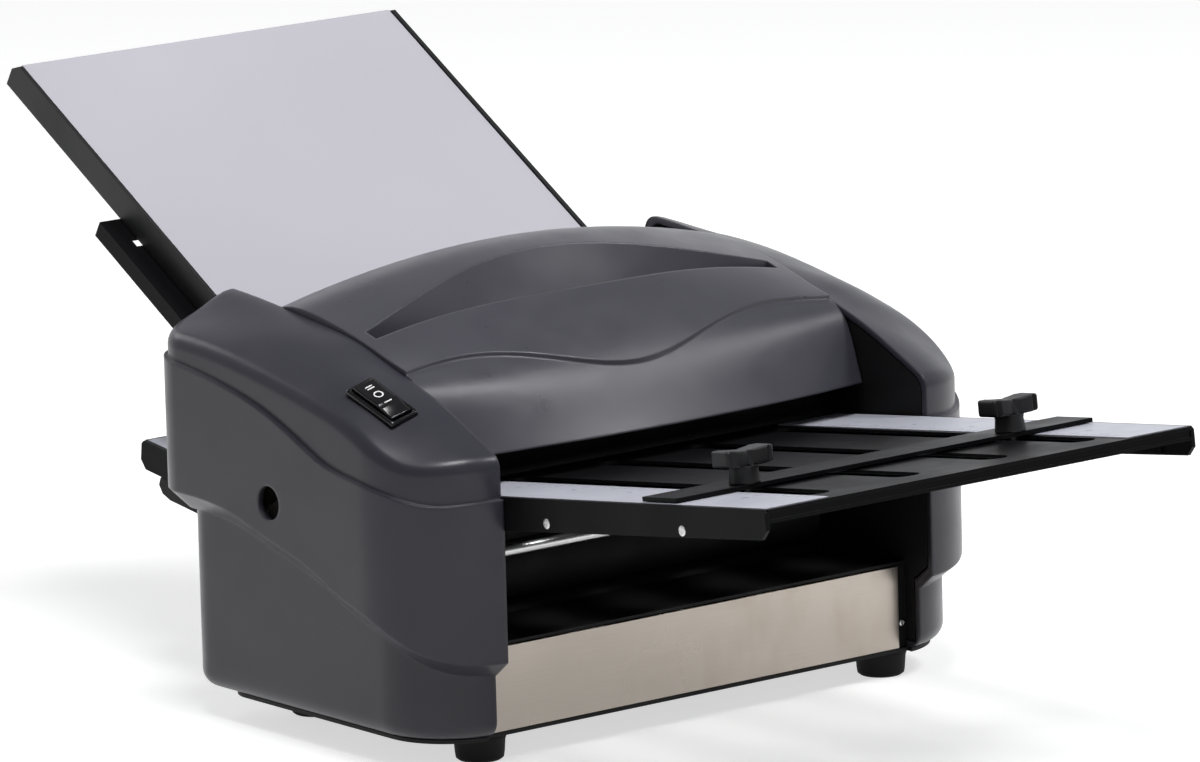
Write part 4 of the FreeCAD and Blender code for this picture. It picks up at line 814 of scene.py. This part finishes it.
@dataclass
class RockerSwitch:
    """The three-position rocker switch on the left cover, in millimetres and degrees."""

    palette: Palette
    width: float = 15.8
    length: float = 32.3
    corner: float = 1.2
    case_inset: float = 1.2
    case_height: float = 14.2
    case_middle: float = -6.9
    base: float = 0.25
    rim_steps: tuple[Triple, ...] = (
        (0.0, 0.0, 1.3), (0.7, 0.7, 1.95), (1.3, 1.3, 2.2), (3.2, 2.8, 2.2), (4.1, 3.4, 1.7),
        (4.1, 3.4, -12.4))
    rocker: Triple = (11.0, 26.9, 9.0)
    rocker_middle: float = -1.5
    rocker_round: float = 0.7
    pitch: float = -14.9682
    roll: float = 22.4027
    pivot_drop: float = 3.0
    rear_draft: float = 0.965
    foot_draft: float = 0.82
    crest: float = 4.1
    crest_place: float = 4.0
    crest_reach: float = 9.0
    sag: float = 0.25
    dip_start: float = -5.0
    dip_length: float = 8.4
    dip_depth: float = 1.5
    bars: Triple = (9.2, 7.7, -4.1)
    bar_half: Span = (2.0, 0.36)
    ring_place: float = 2.4
    ring_radii: Span = (1.6, 2.3)
    print_depth: float = 0.2
    print_rise: float = 0.06

    def seat(self) -> Matrix:
        """The switch's place on the cover's skin."""
        pivot = JOINTS["switch_rock"]
        pitch, roll = math.radians(self.pitch), math.radians(self.roll)
        up = Vector((math.sin(pitch) * math.cos(roll), -math.sin(roll),
                     math.cos(pitch) * math.cos(roll)))
        origin = Vector(pivot["pos_m"]) + up * self.pivot_drop * MM
        return Seat(origin, Vector(pivot["axis"]), up).matrix()

    def bezel(self) -> Piece:
        """The rim that rests on the cover, with the case below it.

        Each rim step is a loop: how much narrower and shorter than the rim, and its height.
        """
        form = bmesh.new()
        bmesh.ops.create_grid(form, x_segments=1, y_segments=1, size=0.5)
        bmesh.ops.scale(form, verts=form.verts, vec=(self.width * MM, self.length * MM, 1))
        round_off(form, form.verts[:], self.corner, 4, affect="VERTICES")
        bmesh.ops.translate(form, verts=form.verts, vec=(0, 0, self.base * MM))
        loop = [edge for edge in form.edges if edge.is_boundary]
        bmesh.ops.delete(form, geom=form.faces[:], context="FACES_ONLY")
        wide, long = self.width, self.length
        for narrower, shorter, height in self.rim_steps:
            new_wide, new_long = self.width - narrower, self.length - shorter
            made = bmesh.ops.extrude_edge_only(form, edges=loop)["geom"]
            verts = new_verts(made)
            loop = [item for item in made if isinstance(item, bmesh.types.BMEdge)
                    and item.verts[0] in verts and item.verts[1] in verts]
            bmesh.ops.scale(form, verts=verts, vec=(new_wide / wide, new_long / long, 1))
            for vert in verts:
                vert.co.z = height * MM
            wide, long = new_wide, new_long
        bmesh.ops.edgeloop_fill(form, edges=loop)
        bmesh.ops.recalc_face_normals(form, faces=form.faces)
        tray = cube_form((self.width - 2 * self.case_inset, self.length - 2 * self.case_inset,
                          self.case_height), (0, 0, self.case_middle))
        top = [face for face in tray.faces if face.normal.z > 0.5]
        bmesh.ops.delete(tray, geom=top, context="FACES_ONLY")
        add_part(form, tray, Matrix.Identity(4))
        form.transform(self.seat())
        return settle(form, "switch_bezel_rim", "frame", GLOSS_BLACK, self.palette,
                      "switch_bezel")

    def surface(self, along: float) -> float:
        """Height of the rocker's face at a place along it."""
        if along > self.dip_start:
            return self.crest + self.sag * ((along - self.crest_place) / self.crest_reach) ** 2
        share = min(1.0, (self.dip_start - along) / self.dip_length)
        return self.crest + self.sag - self.dip_depth * math.sin(share * math.pi / 2)

    def rocker_piece(self) -> Piece:
        """The rocker, with a flat for the marks and a finger dip at its front end."""
        form = cube_form(self.rocker, (0, 0, self.rocker_middle))
        slice_along(form, 1, 27)
        for vert in form.verts:
            if vert.co.z > 0:
                vert.co.z = self.surface(vert.co.y / MM) * MM
                vert.co.y *= self.rear_draft if vert.co.y > 0 else 1.0
            else:
                vert.co.y *= self.foot_draft
        rim = [edge for edge in sharp_edges(form, 50)
               if min(vert.co.z for vert in edge.verts) > 0]
        round_off(form, rim, self.rocker_round, 3)
        form.transform(self.seat())
        return settle(form, "switch_rocker_cap", "switch_rocker", GLOSS_BLACK, self.palette,
                      "switch_rocker", angle=50.0)

    def marks(self) -> Piece:
        """The generic marks of the three positions: two bars, a ring and a bar."""
        form, seat = bmesh.new(), self.seat()
        half_wide, half_long = self.bar_half
        for along in self.bars:
            height = self.surface(along)
            block_form(form, (-half_wide, along - half_long, height - self.print_depth),
                       (half_wide, along + half_long, height + self.print_rise), seat, 0.05)
        height = self.surface(self.ring_place)
        low, high = height - self.print_depth, height + self.print_rise
        inner, outer = self.ring_radii
        turned_form(form, [(inner, low), (inner, high), (outer, high), (outer, low),
                           (inner, low)],
                    seat @ Matrix.Translation((0, self.ring_place * MM, 0)))
        return settle(form, "switch_marks", "switch_rocker", MARK, self.palette)

    def build(self) -> list[Piece]:
        """Makes the switch."""
        return [self.bezel(), self.rocker_piece(), self.marks()]


@dataclass
class StopKnob:
    """A wing knob that clamps a stop bar, in millimetres.

    From waist to dish_end the values are shares: of the head's depth, or of its half span.
    """

    palette: Palette
    node: str
    joint: str
    stem: float = 7.0
    stem_height: float = 7.5
    span: float = 26.0
    reach: float = 13.0
    head: float = 8.0
    stud: float = 2.5
    stud_drop: float = 16.0
    waist: float = 0.80
    waist_gain: float = 0.20
    waist_end: float = 0.75
    tip_start: float = 0.9
    tip: float = 0.86
    dish_end: float = 0.7
    dish: float = 0.8
    underside: float = 0.5
    head_round: float = 1.5

    def grip(self, form: Form, seat: Matrix) -> None:
        """Adds the winged head: waisted, dished along its top, with broken corners."""
        middle = self.stem_height + self.head / 2
        part = cube_form((self.span, self.reach, self.head), (0, 0, middle))
        slice_along(part, 0, 11)
        for vert in part.verts:
            share = abs(vert.co.x) / (self.span / 2 * MM)
            if share < self.waist_end + 0.01:
                rise = math.sin(min(1.0, share / self.waist_end) * math.pi / 2)
                vert.co.y *= self.waist + self.waist_gain * rise
            if share > self.tip_start:
                vert.co.y *= self.tip
            if vert.co.z > middle * MM:
                vert.co.z -= self.dish * MM * (1 - min(1.0, share / self.dish_end) ** 2)
            else:
                vert.co.z += self.underside * MM * share ** 2
        round_off(part, sharp_edges(part, 38), self.head_round, 4, profile=0.6)
        add_part(form, part, seat)

    def build(self) -> Piece:
        """Makes the knob."""
        joint = JOINTS[self.joint]
        seat = Seat(Vector(joint["pos_m"]), Vector((1, 0, 0)), Vector(joint["axis"])).matrix()
        form = bmesh.new()
        foot = 1 - self.stud_drop
        turned_form(form, [
            (0, foot), (self.stud - 0.6, foot), (self.stud, foot + 0.6), (self.stud, 0),
            (self.stem - 0.4, 0), (self.stem, 0.4), (self.stem - 0.1, 1.4),
            (self.stem - 0.6, self.stem_height - 1.6), (self.stem - 0.2, self.stem_height + 0.3),
            (0, self.stem_height + 0.5)], seat)
        self.grip(form, seat)
        return settle(form, self.node + "_grip", body_of(self.node), KNOB, self.palette,
                      self.node, angle=32.0)


@dataclass
class TableRulers:
    """Graduations on the ruler strips of the two fold tables, in millimetres and degrees."""

    palette: Palette
    step: float = 5.0
    line: float = 0.28
    edge_gap: float = 1.0
    short: float = 3.5
    long: float = 7.0
    lines_per_long: int = 4
    longs_per_numeral: int = 2
    numeral_size: float = 4.2
    numeral_place: float = 13.0
    sink: float = 0.02
    rise: float = 0.03
    front_tilt: float = 7.0
    rear_tilt: float = 7.2

    def numeral(self, form: Form, value: int, seat: Matrix) -> None:
        """Adds a small numeral, flat on the strip."""
        curve = bpy.data.curves.new("numeral", "FONT")
        curve.body, curve.size = str(value), self.numeral_size * MM
        curve.align_x, curve.align_y = "CENTER", "CENTER"
        holder = bpy.data.objects.new("numeral", curve)
        mesh = bpy.data.meshes.new_from_object(holder)
        bpy.data.objects.remove(holder)
        bpy.data.curves.remove(curve)
        mesh.transform(seat)
        form.from_mesh(mesh)
        bpy.data.meshes.remove(mesh)

    def strip(self, form: Form, corners: list[Vector]) -> None:
        """Adds one strip's graduations.

        Args:
            form: the form to add to.
            corners: the strip's corners.
        """
        front = sum(corner.y for corner in corners) < 0
        outwards = -1.0 if front else 1.0
        slope = math.radians(self.front_tilt if front else self.rear_tilt)
        up = Vector((0, -outwards * math.sin(slope), math.cos(slope)))
        along = Vector((0, outwards * math.cos(slope), math.sin(slope)))
        reach = [corner.dot(along) for corner in corners]
        top = max(corner.dot(up) for corner in corners)
        left, right = min(corner.x for corner in corners), max(corner.x for corner in corners)
        inner = left if abs(left) < abs(right) else right
        side = 1.0 if inner == left else -1.0
        base = Seat(Vector((inner, 0, 0)) + up * top, Vector((1, 0, 0)), up).matrix()
        way = 1.0 if (base.to_3x3() @ Vector((0, 1, 0))).dot(along) > 0 else -1.0
        start = base.translation.dot(along)
        count = int((max(reach) - min(reach)) / MM / self.step) - 1
        for index in range(1, count):
            place = way * (min(reach) - start + (index + 0.5) * self.step * MM) / MM
            number, rest = divmod(index, self.lines_per_long)
            long = self.short if rest else self.long
            low, high = sorted((side * self.edge_gap, side * (self.edge_gap + long)))
            block_form(form, (low, place - self.line / 2, -self.sink),
                       (high, place + self.line / 2, self.rise), base)
            if not rest and number % self.longs_per_numeral == 0:
                spot = (side * self.numeral_place * MM, place * MM, self.rise * MM)
                self.numeral(form, number, base @ Matrix.Translation(spot))

    def build(self) -> Piece:
        """Makes the graduations of all strips."""
        form = bmesh.new()
        for corners in islands("table_scales"):
            self.strip(form, corners)
        return settle(form, "ruler_graduations", "frame", PRINT, self.palette)


@dataclass
class Screws:
    """Pan head screws with a cross recess, at the CAD screws' places.

    The shares are of the head's radius, and the recess's depth of the head's height.
    """

    palette: Palette
    nodes: tuple[str, ...] = ("table_screws", "case_screws")
    recess: float = 0.55
    recess_half: float = 0.15
    recess_depth: float = 0.55
    head_from: float = 0.9
    shank_within: Span = (0.2, 0.75)
    steps: int = 32

    def screw(self, form: Form, corners: list[Vector]) -> None:
        """Adds one screw in place of a CAD screw.

        Its axis is the one round which the screw's box is square, and it points to the head.

        Args:
            form: the form to add to.
            corners: the CAD screw's corners.
        """
        low, high = box_of(corners)
        size, middle = high - low, (low + high) / 2
        axis = min(range(3), key=lambda k: abs(size[(k + 1) % 3] - size[(k + 2) % 3]))
        radial = []
        for corner in corners:
            arm = corner - middle
            arm[axis] = 0.0
            radial.append(arm.length)
        head = max(radial)
        wide = [corner[axis] for corner, far in zip(corners, radial)
                if far > self.head_from * head]
        least, most = (share * head for share in self.shank_within)
        shank = max((far for far in radial if least < far < most), default=head * 0.5)
        outwards = 1.0 if sum(wide) / len(wide) > middle[axis] else -1.0
        up = Vector([outwards if k == axis else 0.0 for k in range(3)])
        across = Vector((0, 0, 1)) if axis != 2 else Vector((1, 0, 0))
        level = min(wide) if outwards > 0 else max(wide)
        origin = middle.copy()
        origin[axis] = level
        tip = abs((low if outwards > 0 else high)[axis] - level) / MM
        rise = abs((high if outwards > 0 else low)[axis] - level) / MM
        radius, stem = head / MM, shank / MM
        profile = [(0, -tip), (stem, -tip), (stem, 0), (radius - 0.1, 0), (radius, 0.15 * rise),
                   (radius * 0.97, 0.45 * rise), (radius * 0.8, 0.78 * rise),
                   (radius * 0.55, 0.95 * rise), (radius * 0.3, rise), (0, rise)]
        part = bmesh.new()
        turned_form(part, profile, Matrix.Identity(4), self.steps)
        self.cross(part, radius, rise)
        add_part(form, part, Seat(origin, across, up).matrix())

    def cross(self, part: Form, radius: float, rise: float) -> None:
        """Sinks a cross into a head."""
        arm, half = radius * self.recess * MM, radius * self.recess_half * MM
        for axis in range(2):
            for offset in (-arm, -half, half, arm):
                point, normal = [0.0, 0.0, 0.0], [0.0, 0.0, 0.0]
                point[axis], normal[axis] = offset, 1.0
                bmesh.ops.bisect_plane(part, geom=part.verts[:] + part.edges[:] + part.faces[:],
                                       plane_co=point, plane_no=normal)
        bowl = []
        for face in part.faces:
            spot = face.calc_center_median()
            near, far = sorted((abs(spot.x), abs(spot.y)))
            if far < arm and near < half and face.normal.z > 0.2 and spot.z > 0:
                bowl.append(face)
        verts = new_verts(bmesh.ops.extrude_face_region(part, geom=bowl)["geom"])
        bmesh.ops.translate(part, verts=verts, vec=(0, 0, -self.recess_depth * rise * MM))
        bmesh.ops.delete(part, geom=bowl, context="FACES_ONLY")

    def build(self) -> list[Piece]:
        """Makes the screws of every node."""
        made = []
        for node in self.nodes:
            form = bmesh.new()
            for corners in islands(node):
                self.screw(form, corners)
            made.append(settle(form, node + "_with_heads", body_of(node), BRIGHT, self.palette,
                               node))
        return made


@dataclass
class RubberFeet:
    """Moulded feet with a chamfered rim and a dished sole, at the CAD feet's places."""

    palette: Palette

    def build(self) -> Piece:
        """Makes the four feet."""
        form = bmesh.new()
        for corners in islands("rubber_feet"):
            low, high = box_of(corners)
            height, radius = high.z / MM, (high.x - low.x) / 2 / MM
            place = Matrix.Translation(((high.x + low.x) / 2, (high.y + low.y) / 2, 0))
            turned_form(form, [
                (0, 1.2), (radius * 0.35, 1.2), (radius * 0.45, 0.0), (radius * 0.80, 0.0),
                (radius * 0.90, 0.9), (radius * 0.93, 3.0), (radius * 0.97, height - 2.2),
                (radius, height - 1.6), (radius, height), (0, height)], place)
        return settle(form, "rubber_feet_moulded", "frame", FOOT_RUBBER, self.palette,
                      "rubber_feet")


@dataclass
class PaperStack:
    """The loaded sheets in small bundles that don't quite line up, in millimetres."""

    palette: Palette
    tilt: float = 31.0
    bundles: int = 24
    bundle_fill: float = 0.97
    slack: float = 0.35
    seed: int = 7

    def build(self) -> Piece:
        """Makes the stack."""
        source, form = node_form("paper_stack"), bmesh.new()
        seat = Matrix.Rotation(math.radians(self.tilt), 4, "X")
        low, high = box_of([seat.inverted() @ vert.co for vert in source.verts])
        source.free()
        low, high = [value / MM for value in low], [value / MM for value in high]
        thick = (high[2] - low[2]) / self.bundles
        chance = random.Random(self.seed)
        for index in range(self.bundles):
            inset = [chance.uniform(0.0, self.slack) for _ in range(4)]
            block_form(form, (low[0] + inset[0], low[1] + inset[1], low[2] + index * thick),
                       (high[0] - inset[2], high[1] - inset[3],
                        low[2] + (index + self.bundle_fill) * thick), seat)
        return settle(form, "paper_sheets", "frame", PAPER, self.palette, "paper_stack")


def main() -> None:
    """Builds the sub-assemblies in order."""
    palette = Palette()
    Studio().build()
    for finish, nodes in NODE_FINISH.items():
        for node in nodes:
            dress(frame["nodes"][node], palette.of(finish))
    pieces = (MouldedCovers(palette).build() + SheetMetal(palette).build()
              + RockerSwitch(palette).build())
    for node in STOP_KNOBS:
        joint = node.replace("_stop_", "_") + "_turn"
        pieces.append(StopKnob(palette, node, joint).build())
    pieces += Screws(palette).build()
    pieces += [TableRulers(palette).build(), RubberFeet(palette).build(),
               PaperStack(palette).build()]
    for piece in pieces:
        LOG.info("%s: %d faces", piece.name, len(piece.data.polygons))


if __name__ == "__main__":
    logging.basicConfig(level=logging.INFO)
    main()
